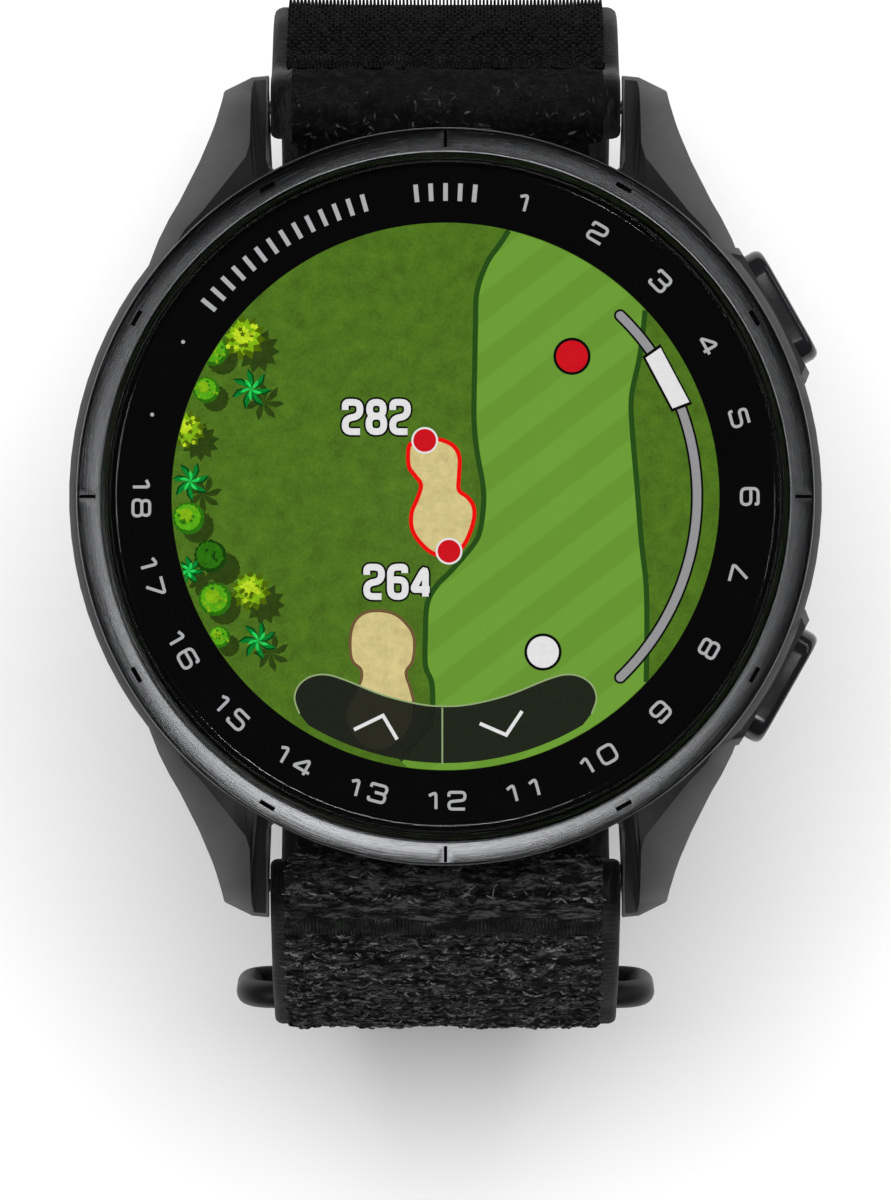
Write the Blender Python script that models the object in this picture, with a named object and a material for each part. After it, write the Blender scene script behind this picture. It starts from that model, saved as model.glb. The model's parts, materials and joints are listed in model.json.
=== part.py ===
"""A golf GPS watch on a closed hook-and-loop fabric band, as an assembly of separate solids.

Frame: the origin is the centre of the case back's sensor window, +Z points out of the display,
+Y points to 12 o'clock and +X to the two buttons. Sizes below are in millimetres.
"""

import math

import bmesh
import bpy
from mathutils import Matrix, Vector

MM = 0.001

# Case
CASE_RADIUS = 21.5
CASE_TOP = 8.3
CASE_BOTTOM = 0.9
GAP_RADIUS = 20.5
LUG_INSIDE = 10.15
WAIST_HEIGHT = 2.4
RIDGE_DROP = 1.3
LUG_DROP = 0.115
CASE_HOLLOW = 18.0
ANTENNA_SEAT_RADIUS = 19.0
ANTENNA_SEAT = 6.9
COVER_WELL_RADIUS = 19.05
FLANGE_RADIUS = 16.2
FLANGE_BOTTOM = 2.5
FLANGE_TOP = 3.7

# Bezel, lens and display
BEZEL_RADIUS = 20.95
BEZEL_TOP = 11.5
LENS_RADIUS = 19.1
LENS_BOTTOM = 10.15
LENS_TOP = 11.8
DISPLAY_RADIUS = 15.9
DISPLAY_BOTTOM = 8.95
DISPLAY_TOP = 10.05
MARK_RADIUS = 20.28
MARK_DEPTH = 0.25

# Back
COVER_RADIUS = 18.95
COVER_BOTTOM = 0.6
COVER_TOP = 2.0
WINDOW_RADIUS = 8.5
SCREW_RING = 17.4
PIN_ROW = -13.5
PIN_PITCH = 2.5

# Buttons: angle from +X, height of the centre and places along the push direction
BUTTON_ANGLES = {"upper": 29.5, "lower": -29.5}
BUTTON_HEIGHT = 5.2
CAP_HALF_LENGTH = 3.55
CAP_HALF_HEIGHT = 1.5
CAP_BACK = 20.95
CAP_FRONT = 22.65
POCKET_FLOOR = 20.3
POCKET_GAP = 0.15
GUARD_FACE = 21.6
STEM_RADIUS = 0.7
STEM_TIP = 16.9
GLAND_RADIUS = 1.35
GLAND_FLOOR = 18.9

# Spring bars, at the 12 o'clock and 6 o'clock sides
BAR_Y = 22.4
BAR_Z = 2.8
BAR_RADIUS = 0.75
BAR_BORE = 0.5
BAR_HALF_LENGTH = 9.7
TIP_END = 11.2
LUG_HOLE_END = 11.35
LEVER_X = -6.2
RELEASE_TRAVEL = 1.3

# Band and its ring; a place on the band's path is (y, z)
BAND_HALF_WIDTH = 10.0
CLOTH = 1.3
EYE_RADIUS = 1.95
EYE_BORE = 0.95
LAYER_STEP = 1.7
SHORT_ARC_CENTRE = (-8.37, -13.0)
SHORT_ARC_RADIUS = 21.13
SHORT_HALF_THICKNESS = 1.1
RING_WIRE = 0.8
RING_NEAR = (-29.5, -13.0)
RING_FAR = (-28.87, -18.97)
RING_HALF_WIDTH = 11.6
RING_CORNER = 1.45
TURN_RADIUS = 1.75
BAND_BASE = -44.0
BASE_HALF_LENGTH = 12.0
PATH_STEPS = 6
FOLD_POINT = 6.0
TAIL_END_POINT = 4.3


# ---------------------------------------------------------------- materials

def material(name, colour, roughness, metallic=0.0):
    made = bpy.data.materials.new(name)
    made.use_nodes = True
    shader = made.node_tree.nodes["Principled BSDF"]
    shader.inputs["Base Color"].default_value = (*colour, 1.0)
    shader.inputs["Roughness"].default_value = roughness
    shader.inputs["Metallic"].default_value = metallic
    made.diffuse_color = (*colour, 1.0)
    return made


def make_materials():
    return {
        "case": material("case_grey", (0.05, 0.052, 0.055), 0.5, 0.4),
        "bezel": material("bezel_gunmetal", (0.12, 0.125, 0.13), 0.35, 0.9),
        "glass": material("lens_glass", (0.02, 0.02, 0.02), 0.05),
        "display": material("display_screen", (0.1, 0.25, 0.05), 0.3),
        "polymer": material("black_polymer", (0.02, 0.02, 0.02), 0.6),
        "button": material("button_black", (0.015, 0.015, 0.017), 0.25),
        "rubber": material("seal_rubber", (0.02, 0.02, 0.02), 0.85),
        "board": material("circuit_board", (0.01, 0.12, 0.05), 0.5),
        "flex": material("flex_circuit", (0.45, 0.22, 0.05), 0.5),
        "steel": material("steel", (0.55, 0.55, 0.56), 0.3, 1.0),
        "gold": material("gold_plate", (0.8, 0.6, 0.25), 0.3, 1.0),
        "cell": material("battery_wrap", (0.2, 0.2, 0.22), 0.45, 0.3),
        "led": material("led_green", (0.1, 0.7, 0.2), 0.2),
        "band": material("band_cloth", (0.03, 0.032, 0.035), 0.95),
        "hook": material("hook_tape", (0.01, 0.01, 0.01), 0.8),
        "ring": material("ring_gunmetal", (0.1, 0.1, 0.1), 0.35, 0.8),
    }


# ---------------------------------------------------------------- building solids

def add_part(name, solid, look, pivot=None):
    """Make one named object from a solid in millimetres, with its origin on its pivot."""
    origin = Vector(pivot.location) if pivot else Vector((0.0, 0.0, 0.0))
    vertices, faces = solid
    mesh = bpy.data.meshes.new(name)
    mesh.from_pydata([Vector(point) * MM - origin for point in vertices], [], faces)
    work = bmesh.new()
    work.from_mesh(mesh)
    bmesh.ops.recalc_face_normals(work, faces=work.faces)
    work.to_mesh(mesh)
    work.free()
    mesh.materials.append(look)
    mesh.shade_smooth()
    mesh.set_sharp_from_angle(angle=math.radians(30))
    part = bpy.data.objects.new(name, mesh)
    bpy.context.scene.collection.objects.link(part)
    part.parent = pivot
    return part


def add_pivot(name, place):
    """An empty on a joint's axis, which carries the pieces that move together."""
    empty = bpy.data.objects.new(name, None)
    empty.location = Vector(place) * MM
    bpy.context.scene.collection.objects.link(empty)
    return empty


def combine(part, operation, solids):
    """Join a part with tool solids, or cut it by them."""
    tools = [add_part(f"{part.name}_tool", solid, part.data.materials[0]) for solid in solids]
    for tool in tools:
        modifier = part.modifiers.new(operation, "BOOLEAN")
        modifier.operation = operation
        modifier.object = tool
    graph = bpy.context.evaluated_depsgraph_get()
    mesh = bpy.data.meshes.new_from_object(part.evaluated_get(graph))
    part.modifiers.clear()
    part.data = mesh
    mesh.shade_smooth()
    mesh.set_sharp_from_angle(angle=math.radians(30))
    for tool in tools:
        bpy.data.objects.remove(tool, do_unlink=True)


def loft(rings, closed=False):
    """Bridge rings of equal count; a closed loft joins the last to the first, others are capped."""
    count = len(rings[0])
    vertices = [point for ring in rings for point in ring]
    faces = []
    for i in range(len(rings) if closed else len(rings) - 1):
        a = i * count
        b = (i + 1) % len(rings) * count
        faces += [(a + k, a + (k + 1) % count, b + (k + 1) % count, b + k) for k in range(count)]
    if not closed:
        faces.append(tuple(range(count))[::-1])
        faces.append(tuple(range(len(vertices) - count, len(vertices))))
    return vertices, faces


def placed(solid, matrix):
    vertices, faces = solid
    return [matrix @ Vector(point) for point in vertices], faces


def turned(profile, segments=48, closed=False):
    """Turn a profile of (radius, height) points about Z."""
    angles = [math.tau * k / segments for k in range(segments)]
    rings = [[(r * math.cos(a), r * math.sin(a), h) for a in angles] for r, h in profile]
    return loft(rings, closed)


def disc(radius, bottom, top, segments=48):
    return turned([(radius, bottom), (radius, top)], segments)


def washer(inner, outer, bottom, top, segments=48):
    profile = [(outer, bottom), (outer, top), (inner, top), (inner, bottom)]
    return turned(profile, segments, closed=True)


def prism(outline, bottom, top):
    return loft([[(x, y, z) for x, y in outline] for z in (bottom, top)])


def block(x_range, y_range, z_range):
    (x0, x1), (y0, y1) = x_range, y_range
    return prism([(x0, y0), (x1, y0), (x1, y1), (x0, y1)], *z_range)


def stadium(half_length, half_height, steps=8):
    """A slot outline with round ends, long along X."""
    straight = half_length - half_height
    outline = []
    for side in (1, -1):
        for k in range(steps + 1):
            turn = math.radians(-90 + 180 * k / steps) + (0 if side > 0 else math.pi)
            outline.append((side * straight + half_height * math.cos(turn), half_height * math.sin(turn)))
    return outline


def coil(radius, wire, bottom, top, turns, per_turn=10, sides=5):
    """A helical spring of round wire about Z."""
    rings = []
    steps = int(turns * per_turn)
    for k in range(steps + 1):
        turn = math.tau * k / per_turn
        height = bottom + wire + (top - bottom - 2 * wire) * k / steps
        ring = []
        for m in range(sides):
            around = math.tau * m / sides
            reach = radius + wire * math.cos(around)
            ring.append((reach * math.cos(turn), reach * math.sin(turn), height + wire * math.sin(around)))
        rings.append(ring)
    return loft(rings)


def radial_frame(angle, height):
    """Local Z runs outward from the watch's axis, local X along the case, local Y up."""
    turn = math.radians(angle)
    outward = Vector((math.cos(turn), math.sin(turn), 0.0))
    along = Vector((-math.sin(turn), math.cos(turn), 0.0))
    frame = Matrix((along, Vector((0.0, 0.0, 1.0)), outward)).transposed().to_4x4()
    return Matrix.Translation((0.0, 0.0, height)) @ frame


def cross_frame(y, z):
    """Local Z runs along X, about the line at (y, z)."""
    frame = Matrix(((0, 0, 1), (1, 0, 0), (0, 1, 0))).to_4x4()
    return Matrix.Translation((0.0, y, z)) @ frame


# ---------------------------------------------------------------- case

def polar(radius, angle):
    return (radius * math.cos(math.radians(angle)), radius * math.sin(math.radians(angle)))


def quarter_stations():
    """Outline stations from 3 o'clock to 12: outer point, ridge point, seat angle, waist and foot pull."""
    stations = []
    for angle in range(2, 38, 4):
        stations.append((polar(CASE_RADIUS, angle), polar(21.02, angle), angle, 0.0, 1.8))
    lug = [
        ((16.95, 13.2), (16.5, 12.98), 38.0),
        ((16.4, 14.7), (15.35, 14.4), 42.5),
        ((15.8, 15.9), (14.9, 15.2), 45.0),
        ((15.2, 16.95), (13.9, 16.25), 47.5),
        ((14.1, 19.2), (12.3, 18.25), 50.5),
        ((13.45, 20.8), (11.4, 19.4), 52.5),
        ((13.2, 21.5), (11.17, 20.2), 53.7),
        ((12.88, 22.6), (11.15, 22.2), 55.3),
        ((12.74, 23.25), (11.12, 23.2), 56.3),
        ((12.66, 23.36), (11.1, 23.4), 56.8),
        ((11.1, 24.06), (10.98, 23.85), 57.6),
        ((LUG_INSIDE, 24.15), (LUG_INSIDE + 0.15, 23.9), 58.2),
        ((LUG_INSIDE, 22.4), (LUG_INSIDE + 0.1, 22.4), 58.5),
        ((LUG_INSIDE, 20.6), (LUG_INSIDE + 0.1, 20.6), 58.8),
        ((LUG_INSIDE, 19.25), (LUG_INSIDE + 0.1, 19.2), 59.2),
        ((LUG_INSIDE - 0.12, 18.88), (LUG_INSIDE - 0.04, 18.8), 59.8),
        ((LUG_INSIDE - 0.42, 18.6), (LUG_INSIDE - 0.38, 18.5), 60.6),
    ]
    stations += [(outer, ridge, seat, 0.0, 0.35) for outer, ridge, seat in lug]
    for angle in (63, 66, 70, 75, 81, 87):
        stations.append((polar(GAP_RADIUS, angle), polar(GAP_RADIUS - 0.15, angle), angle, 4.0, 4.0))
    return stations


def case_rings():
    """The case's closed stack of rings, from the bezel seat out, down and back up inside."""
    quarter = quarter_stations()
    corners = [(1, 1, quarter), (-1, 1, quarter[::-1]), (-1, -1, quarter), (1, -1, quarter[::-1])]
    rings = [[] for _ in range(13)]
    inside = [
        (COVER_WELL_RADIUS, CASE_BOTTOM), (COVER_WELL_RADIUS, FLANGE_BOTTOM),
        (FLANGE_RADIUS, FLANGE_BOTTOM), (FLANGE_RADIUS, FLANGE_TOP), (CASE_HOLLOW, FLANGE_TOP),
        (CASE_HOLLOW, ANTENNA_SEAT), (ANTENNA_SEAT_RADIUS, ANTENNA_SEAT),
    ]
    for sx, sy, stations in corners:
        for outer, ridge, seat_angle, waist_pull, foot_pull in stations:
            outer, ridge = Vector(outer), Vector(ridge)
            seat = Vector(polar(ANTENNA_SEAT_RADIUS, seat_angle))
            share = min((BEZEL_RADIUS - seat.length) / (ridge.length - seat.length), 0.9)
            shelf = seat.lerp(ridge, share)
            past = max(ridge.length - 21.0, 0.0)
            ridge_z = CASE_TOP - 0.05 - LUG_DROP * past ** 2
            shoulder_z = ridge_z - RIDGE_DROP * (ridge - outer).length
            foot_z = CASE_BOTTOM if outer.length < CASE_RADIUS + 0.1 else CASE_BOTTOM - 0.4
            column = [
                (seat, CASE_TOP), (shelf, CASE_TOP - 0.02), (ridge, ridge_z), (outer, shoulder_z),
                (outer.lerp(ridge, waist_pull), WAIST_HEIGHT), (outer.lerp(ridge, foot_pull), foot_z),
            ]
            column += [(Vector(polar(radius, seat_angle)), z) for radius, z in inside]
            for ring, (point, z) in zip(rings, column):
                ring.append((sx * point.x, sy * point.y, z))
    return rings


def guard_solid(angle):
    """The flat pad that stands out of the case around a button."""
    rings = []
    for half_length, half_height, reach in ((4.7, 2.5, 19.2), (4.5, 2.45, 21.1), (4.1, 2.1, GUARD_FACE)):
        corner = 0.5
        outline = [
            (half_length, half_height - corner), (half_length - corner, half_height),
            (corner - half_length, half_height), (-half_length, half_height - corner),
            (-half_length, corner - half_height), (corner - half_length, -half_height),
            (half_length - corner, -half_height), (half_length, corner - half_height),
        ]
        rings.append([(x, y, reach) for x, y in outline])
    return placed(loft(rings), radial_frame(angle, BUTTON_HEIGHT))


def screw_places():
    return [polar(SCREW_RING, angle) for angle in (45, 135, 225, 315)]


def make_case(looks):
    case = add_part("mid_case", loft(case_rings(), closed=True), looks["case"])
    combine(case, "UNION", [guard_solid(angle) for angle in BUTTON_ANGLES.values()])
    cuts = []
    for angle in BUTTON_ANGLES.values():
        frame = radial_frame(angle, BUTTON_HEIGHT)
        pocket = stadium(CAP_HALF_LENGTH + POCKET_GAP, CAP_HALF_HEIGHT + POCKET_GAP)
        cuts.append(placed(prism(pocket, POCKET_FLOOR, CAP_FRONT + 2), frame))
        gland = [(STEM_RADIUS + 0.1, 17.0), (STEM_RADIUS + 0.1, GLAND_FLOOR)]
        gland += [(GLAND_RADIUS, GLAND_FLOOR), (GLAND_RADIUS, POCKET_FLOOR + 0.5)]
        cuts.append(placed(turned(gland, 16), frame))
    for y in (BAR_Y, -BAR_Y):
        for x_range in ((LUG_INSIDE - 1, LUG_HOLE_END), (-LUG_HOLE_END, 1 - LUG_INSIDE)):
            cuts.append(placed(disc(BAR_BORE, *x_range, 12), cross_frame(y, BAR_Z)))
    for x, y in screw_places():
        cuts.append(placed(disc(0.6, FLANGE_BOTTOM - 1, 3.4, 10), Matrix.Translation((x, y, 0))))
    combine(case, "DIFFERENCE", cuts)


# ---------------------------------------------------------------- bezel, lens and display

def bezel_marks():
    """Radial ticks at the quarters and slots along the ring at the other eight hours."""
    marks = []
    for hour in range(12):
        along, across = (0.25, 0.92) if hour % 3 == 0 else (1.0, 0.3)
        mark = block((-across / 2, across / 2), (-along / 2, along / 2), (BEZEL_TOP - MARK_DEPTH, BEZEL_TOP + 1))
        turn = Matrix.Rotation(math.radians(30 * hour), 4, "Z")
        marks.append(placed(mark, turn @ Matrix.Translation((MARK_RADIUS, 0, 0))))
    return marks


def make_front(looks):
    bezel_profile = [
        (BEZEL_RADIUS, 8.35), (BEZEL_RADIUS, 11.15), (20.8, 11.42), (20.65, BEZEL_TOP), (19.65, BEZEL_TOP),
        (19.25, 11.2), (19.25, 9.9), (16.3, 9.9), (16.3, 9.1), (19.0, 9.1), (19.0, 8.35),
    ]
    bezel = add_part("bezel_ring", turned(bezel_profile, 80, closed=True), looks["bezel"])
    combine(bezel, "DIFFERENCE", bezel_marks())
    add_part("lens_seal", washer(17.5, 19.0, 9.95, 10.1, 40), looks["rubber"])
    lens_profile = [
        (LENS_RADIUS - 0.15, LENS_BOTTOM), (LENS_RADIUS, LENS_BOTTOM + 0.15), (LENS_RADIUS, LENS_TOP - 0.35),
        (LENS_RADIUS - 0.1, LENS_TOP - 0.1), (LENS_RADIUS - 0.35, LENS_TOP),
    ]
    add_part("cover_lens", turned(lens_profile, 80), looks["glass"])
    add_part("display_panel", disc(DISPLAY_RADIUS, DISPLAY_BOTTOM, DISPLAY_TOP, 48), looks["display"])
    fold = [(-15.2, 7.35), (-10.0, 7.35), (-10.0, 7.55), (-15.0, 7.55), (-15.0, 8.65), (-10.0, 8.65),
            (-10.0, 8.85), (-15.2, 8.85)]
    frame = cross_frame(0, 0)
    add_part("display_flex", placed(prism(fold, -4.0, 4.0), frame), looks["flex"])


# ---------------------------------------------------------------- inside the case

def make_inside(looks):
    chassis = add_part("chassis", disc(16.9, 6.05, 6.5, 32), looks["polymer"])
    combine(chassis, "DIFFERENCE", [block((-5.0, 5.0), (11.2, 15.0), (5.5, 7.0))])
    add_part("main_board", disc(17.3, 6.6, 7.2, 32), looks["board"])
    add_part("shield_can", block((-9.0, 9.0), (-6.5, 10.5), (7.25, 8.3)), looks["steel"])
    antenna = add_part("gnss_antenna", washer(17.6, 18.9, 7.0, 8.2, 40), looks["polymer"])
    combine(antenna, "DIFFERENCE", [block((-0.6, 0.6), (17.0, 19.5), (6.5, 9.0))])
    add_part("battery", block((-11.0, 11.0), (-10.5, 10.5), (2.95, 5.75)), looks["cell"])
    motor = cross_frame(13.0, 4.4)
    can = [(1.5, -4.0), (1.5, 4.0), (1.3, 4.0), (1.3, -3.8), (0.35, -3.8), (0.35, -4.0)]
    add_part("motor_can", placed(turned(can, 16, closed=True), motor), looks["steel"])
    pivot = add_pivot("motor_axis", (0.0, 13.0, 4.4))
    weight = [(1.1 * math.cos(a), 1.1 * math.sin(a)) for a in [math.radians(180 + 18 * k) for k in range(11)]]
    rotor = add_part("motor_rotor", placed(disc(0.25, -4.4, 3.6, 12), motor), looks["steel"], pivot)
    combine(rotor, "UNION", [placed(prism(weight, -3.4, 3.2), cross_frame(13.0, 4.4))])
    add_part("key_flex", arc_strip(14.8, 15.0, 40.0, 4.3, 5.9), looks["flex"])
    for name, angle in BUTTON_ANGLES.items():
        body = prism([(-1.7, -0.9), (1.7, -0.9), (1.7, 0.7), (-1.7, 0.7)], 15.1, 15.9)
        switch = add_part(f"tact_switch_{name}", placed(body, radial_frame(angle, BUTTON_HEIGHT)), looks["polymer"])
        plunger = placed(disc(0.6, 15.5, 16.3, 12), radial_frame(angle, BUTTON_HEIGHT))
        combine(switch, "UNION", [plunger])


def arc_strip(inner, outer, half_angle, bottom, top, steps=12):
    """A thin upright strip along an arc about +X."""
    rings = []
    for k in range(steps + 1):
        angle = -half_angle + 2 * half_angle * k / steps
        (x0, y0), (x1, y1) = polar(inner, angle), polar(outer, angle)
        rings.append([(x0, y0, bottom), (x1, y1, bottom), (x1, y1, top), (x0, y0, top)])
    return loft(rings)


# ---------------------------------------------------------------- case back

def make_back(looks):
    profile = [
        (COVER_RADIUS, 0.9), (COVER_RADIUS, COVER_TOP), (7.6, COVER_TOP), (7.6, 1.05), (8.6, 1.05),
        (8.6, COVER_BOTTOM), (18.5, COVER_BOTTOM),
    ]
    cover = add_part("rear_cover", turned(profile, 48, closed=True), looks["polymer"])
    holes = []
    for x, y in screw_places():
        place = Matrix.Translation((x, y, 0))
        hole = [(1.15, 0.0), (1.15, 1.3), (0.6, 1.3), (0.6, 3.0)]
        holes.append(placed(turned(hole, 16), place))
    for x in pin_places():
        holes.append(placed(disc(0.9, 0.0, 3.0, 12), Matrix.Translation((x, PIN_ROW, 0))))
    combine(cover, "DIFFERENCE", holes)
    add_part("rear_seal", washer(18.15, 18.9, 2.05, 2.45, 40), looks["rubber"])
    window = [(WINDOW_RADIUS - 0.6, 0.0), (WINDOW_RADIUS, 0.4), (WINDOW_RADIUS, 1.0)]
    add_part("sensor_window", turned(window, 40), looks["glass"])
    add_part("sensor_board", disc(8.4, 2.15, 2.75, 32), looks["board"])
    for number, angle in enumerate((90, 210, 330), 1):
        x, y = polar(2.2, angle)
        add_part(f"led_{number}", block((x - 0.8, x + 0.8), (y - 0.8, y + 0.8), (1.3, 2.1)), looks["led"])
    for number, x in enumerate((-5.2, 5.2), 1):
        cell = block((x - 1.4, x + 1.4), (-1.4, 1.4), (1.3, 2.1))
        add_part(f"photodiode_{number}", cell, looks["polymer"])
    for number, x in enumerate(pin_places(), 1):
        pin = placed(disc(0.8, 0.7, 2.4, 12), Matrix.Translation((x, PIN_ROW, 0)))
        add_part(f"contact_pin_{number}", pin, looks["gold"])
    for number, (x, y) in enumerate(screw_places(), 1):
        shape = [(0.35, 1.0), (0.35, 0.65), (1.0, 0.65), (1.0, 1.25), (0.5, 1.25), (0.5, 3.2)]
        screw = placed(turned(shape, 12), Matrix.Translation((x, y, 0)))
        add_part(f"cover_screw_{number}", screw, looks["steel"])


def pin_places():
    return [PIN_PITCH * (k - 1.5) for k in range(4)]


# ---------------------------------------------------------------- buttons

def make_button(name, angle, looks):
    frame = radial_frame(angle, BUTTON_HEIGHT)
    pivot = add_pivot(f"{name}_button_axis", frame @ Vector((0, 0, CAP_FRONT)))
    steps = [(0.0, CAP_BACK), (0.0, 22.3), (0.1, 22.52), (0.32, CAP_FRONT), (0.7, CAP_FRONT), (0.8, 22.4)]
    rings = []
    for inset, reach in steps:
        outline = stadium(CAP_HALF_LENGTH - inset, CAP_HALF_HEIGHT - inset)
        rings.append([(x, y, reach) for x, y in outline])
    add_part(f"{name}_button_cap", placed(loft(rings), frame), looks["button"], pivot)
    groove = 17.8
    stem = [(STEM_RADIUS, STEM_TIP), (STEM_RADIUS, groove - 0.3), (0.5, groove - 0.3), (0.5, groove),
            (STEM_RADIUS, groove), (STEM_RADIUS, CAP_BACK - 0.05)]
    add_part(f"{name}_button_stem", placed(turned(stem, 16), frame), looks["steel"], pivot)
    clip = washer(0.55, 1.25, groove - 0.25, groove - 0.05, 16)
    add_part(f"{name}_button_clip", placed(clip, frame), looks["steel"], pivot)
    seal = washer(STEM_RADIUS + 0.05, GLAND_RADIUS - 0.05, GLAND_FLOOR + 0.05, GLAND_FLOOR + 0.5, 16)
    add_part(f"{name}_button_seal", placed(seal, frame), looks["rubber"])
    spring = coil(1.05, 0.12, 20.05, CAP_BACK - 0.05, 2.5, 10, 4)
    add_part(f"{name}_button_spring", placed(spring, frame), looks["steel"], pivot)


# ---------------------------------------------------------------- spring bars

def make_spring_bar(name, y, pivot, looks):
    frame = cross_frame(y, BAR_Z)
    tube = add_part(f"{name}_bar_tube", placed(washer(BAR_BORE, BAR_RADIUS, -BAR_HALF_LENGTH,
                                                      BAR_HALF_LENGTH, 16), frame), looks["steel"], pivot)
    slot = block((LEVER_X - 0.45, LEVER_X + RELEASE_TRAVEL + 0.45), (y - 0.35, y + 0.35), (BAR_Z - 1.5, BAR_Z - 0.2))
    cut_tool(tube, slot, pivot)
    fixed = [(0.45, 8.2), (0.45, 9.95), (0.38, 10.0), (0.38, TIP_END - 0.1), (0.28, TIP_END)]
    add_part(f"{name}_bar_fixed_tip", placed(turned(fixed, 12), frame), looks["steel"], pivot)
    release = add_pivot(f"{name}_release_axis", (-TIP_END, y, BAR_Z))
    moving = [(0.28, -TIP_END), (0.38, 0.1 - TIP_END), (0.38, -10.0), (0.45, -9.95), (0.45, LEVER_X + 0.7)]
    add_part(f"{name}_bar_release_tip", placed(turned(moving, 12), frame), looks["steel"], release)
    lever = [(0.7, BAR_Z - 2.6), (0.7, BAR_Z - 2.15), (0.25, BAR_Z - 2.15), (0.25, BAR_Z - 0.5)]
    add_part(f"{name}_bar_lever", placed(turned(lever, 16), Matrix.Translation((LEVER_X, y, 0))),
             looks["steel"], release)
    spring = coil(0.34, 0.08, LEVER_X + 0.7 + RELEASE_TRAVEL + 0.1, 8.1, 7.0, 7, 3)
    add_part(f"{name}_bar_spring", placed(spring, frame), looks["steel"], pivot)


def cut_tool(part, solid, pivot):
    """Cut a part that already hangs on a pivot."""
    bpy.context.view_layer.update()
    combine(part, "DIFFERENCE", [solid])
    part.parent = pivot


# ---------------------------------------------------------------- band

def smooth_path(points, per_span=PATH_STEPS):
    """A Catmull-Rom curve through (y, z) points."""
    padded = [points[0]] + list(points) + [points[-1]]
    path = []
    for k in range(len(points) - 1):
        a, b, c, d = (Vector(point) for point in padded[k:k + 4])
        for step in range(per_span):
            t = step / per_span
            path.append(0.5 * (2 * b + (c - a) * t + (2 * a - 5 * b + 4 * c - d) * t ** 2
                               + (3 * b - a - 3 * c + d) * t ** 3))
    path.append(Vector(points[-1]))
    return path


def normals(path):
    """Unit vectors to the left of the path's direction."""
    found = []
    for k in range(len(path)):
        ahead = path[min(k + 1, len(path) - 1)] - path[max(k - 1, 0)]
        found.append(Vector((-ahead.y, ahead.x)).normalized())
    return found


def ribbon(path, left, right, half_width=BAND_HALF_WIDTH):
    """A strip along a path of (y, z) points; left and right are offsets per point."""
    rings = []
    for point, normal, a, b in zip(path, normals(path), left, right):
        p, q = point + normal * a, point - normal * b
        rings.append([(-half_width, *p), (half_width, *p), (half_width, *q), (-half_width, *q)])
    return loft(rings)


def long_path():
    """Mid-line of the long strap, from the 12 o'clock bar, under the wrist, to the ring."""
    flat = BAND_BASE + CLOTH / 2 + LAYER_STEP
    path = smooth_path([
        (BAR_Y, BAR_Z), (25.2, -1.6), (27.6, -6.5), (28.5, -12.5), (27.6, -20.5), (24.6, -30.0),
        (19.4, -37.4), (BASE_HALF_LENGTH, flat + 0.15), (BASE_HALF_LENGTH / 2, flat),
        (-BASE_HALF_LENGTH / 2, flat), (-BASE_HALF_LENGTH, flat + 0.15), (-19.4, -37.4),
        (-24.0, -31.2), (-26.6, -24.0), (RING_FAR[0] + TURN_RADIUS, RING_FAR[1]),
    ])
    return [Vector((point.x, max(point.y, flat))) for point in path]


def turn_path(steps=10):
    """The long strap's turn over the ring's far limb."""
    points = []
    for k in range(1, steps + 1):
        turn = math.pi * k / steps
        points.append(Vector((RING_FAR[0] + TURN_RADIUS * math.cos(turn),
                              RING_FAR[1] + TURN_RADIUS * math.sin(turn))))
    return points


def tail_path():
    """Mid-line of the outer layer, from the ring back round to the 12 o'clock side."""
    inner = long_path()[::-1]
    outward = normals(inner)
    spread = 2 * TURN_RADIUS - LAYER_STEP
    path = []
    for k, (point, normal) in enumerate(zip(inner, outward)):
        share = min(k / 12, 1.0)
        ease = 1 - share ** 2 * (3 - 2 * share)
        path.append(point - normal * (LAYER_STEP + spread * ease))
    return path


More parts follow.
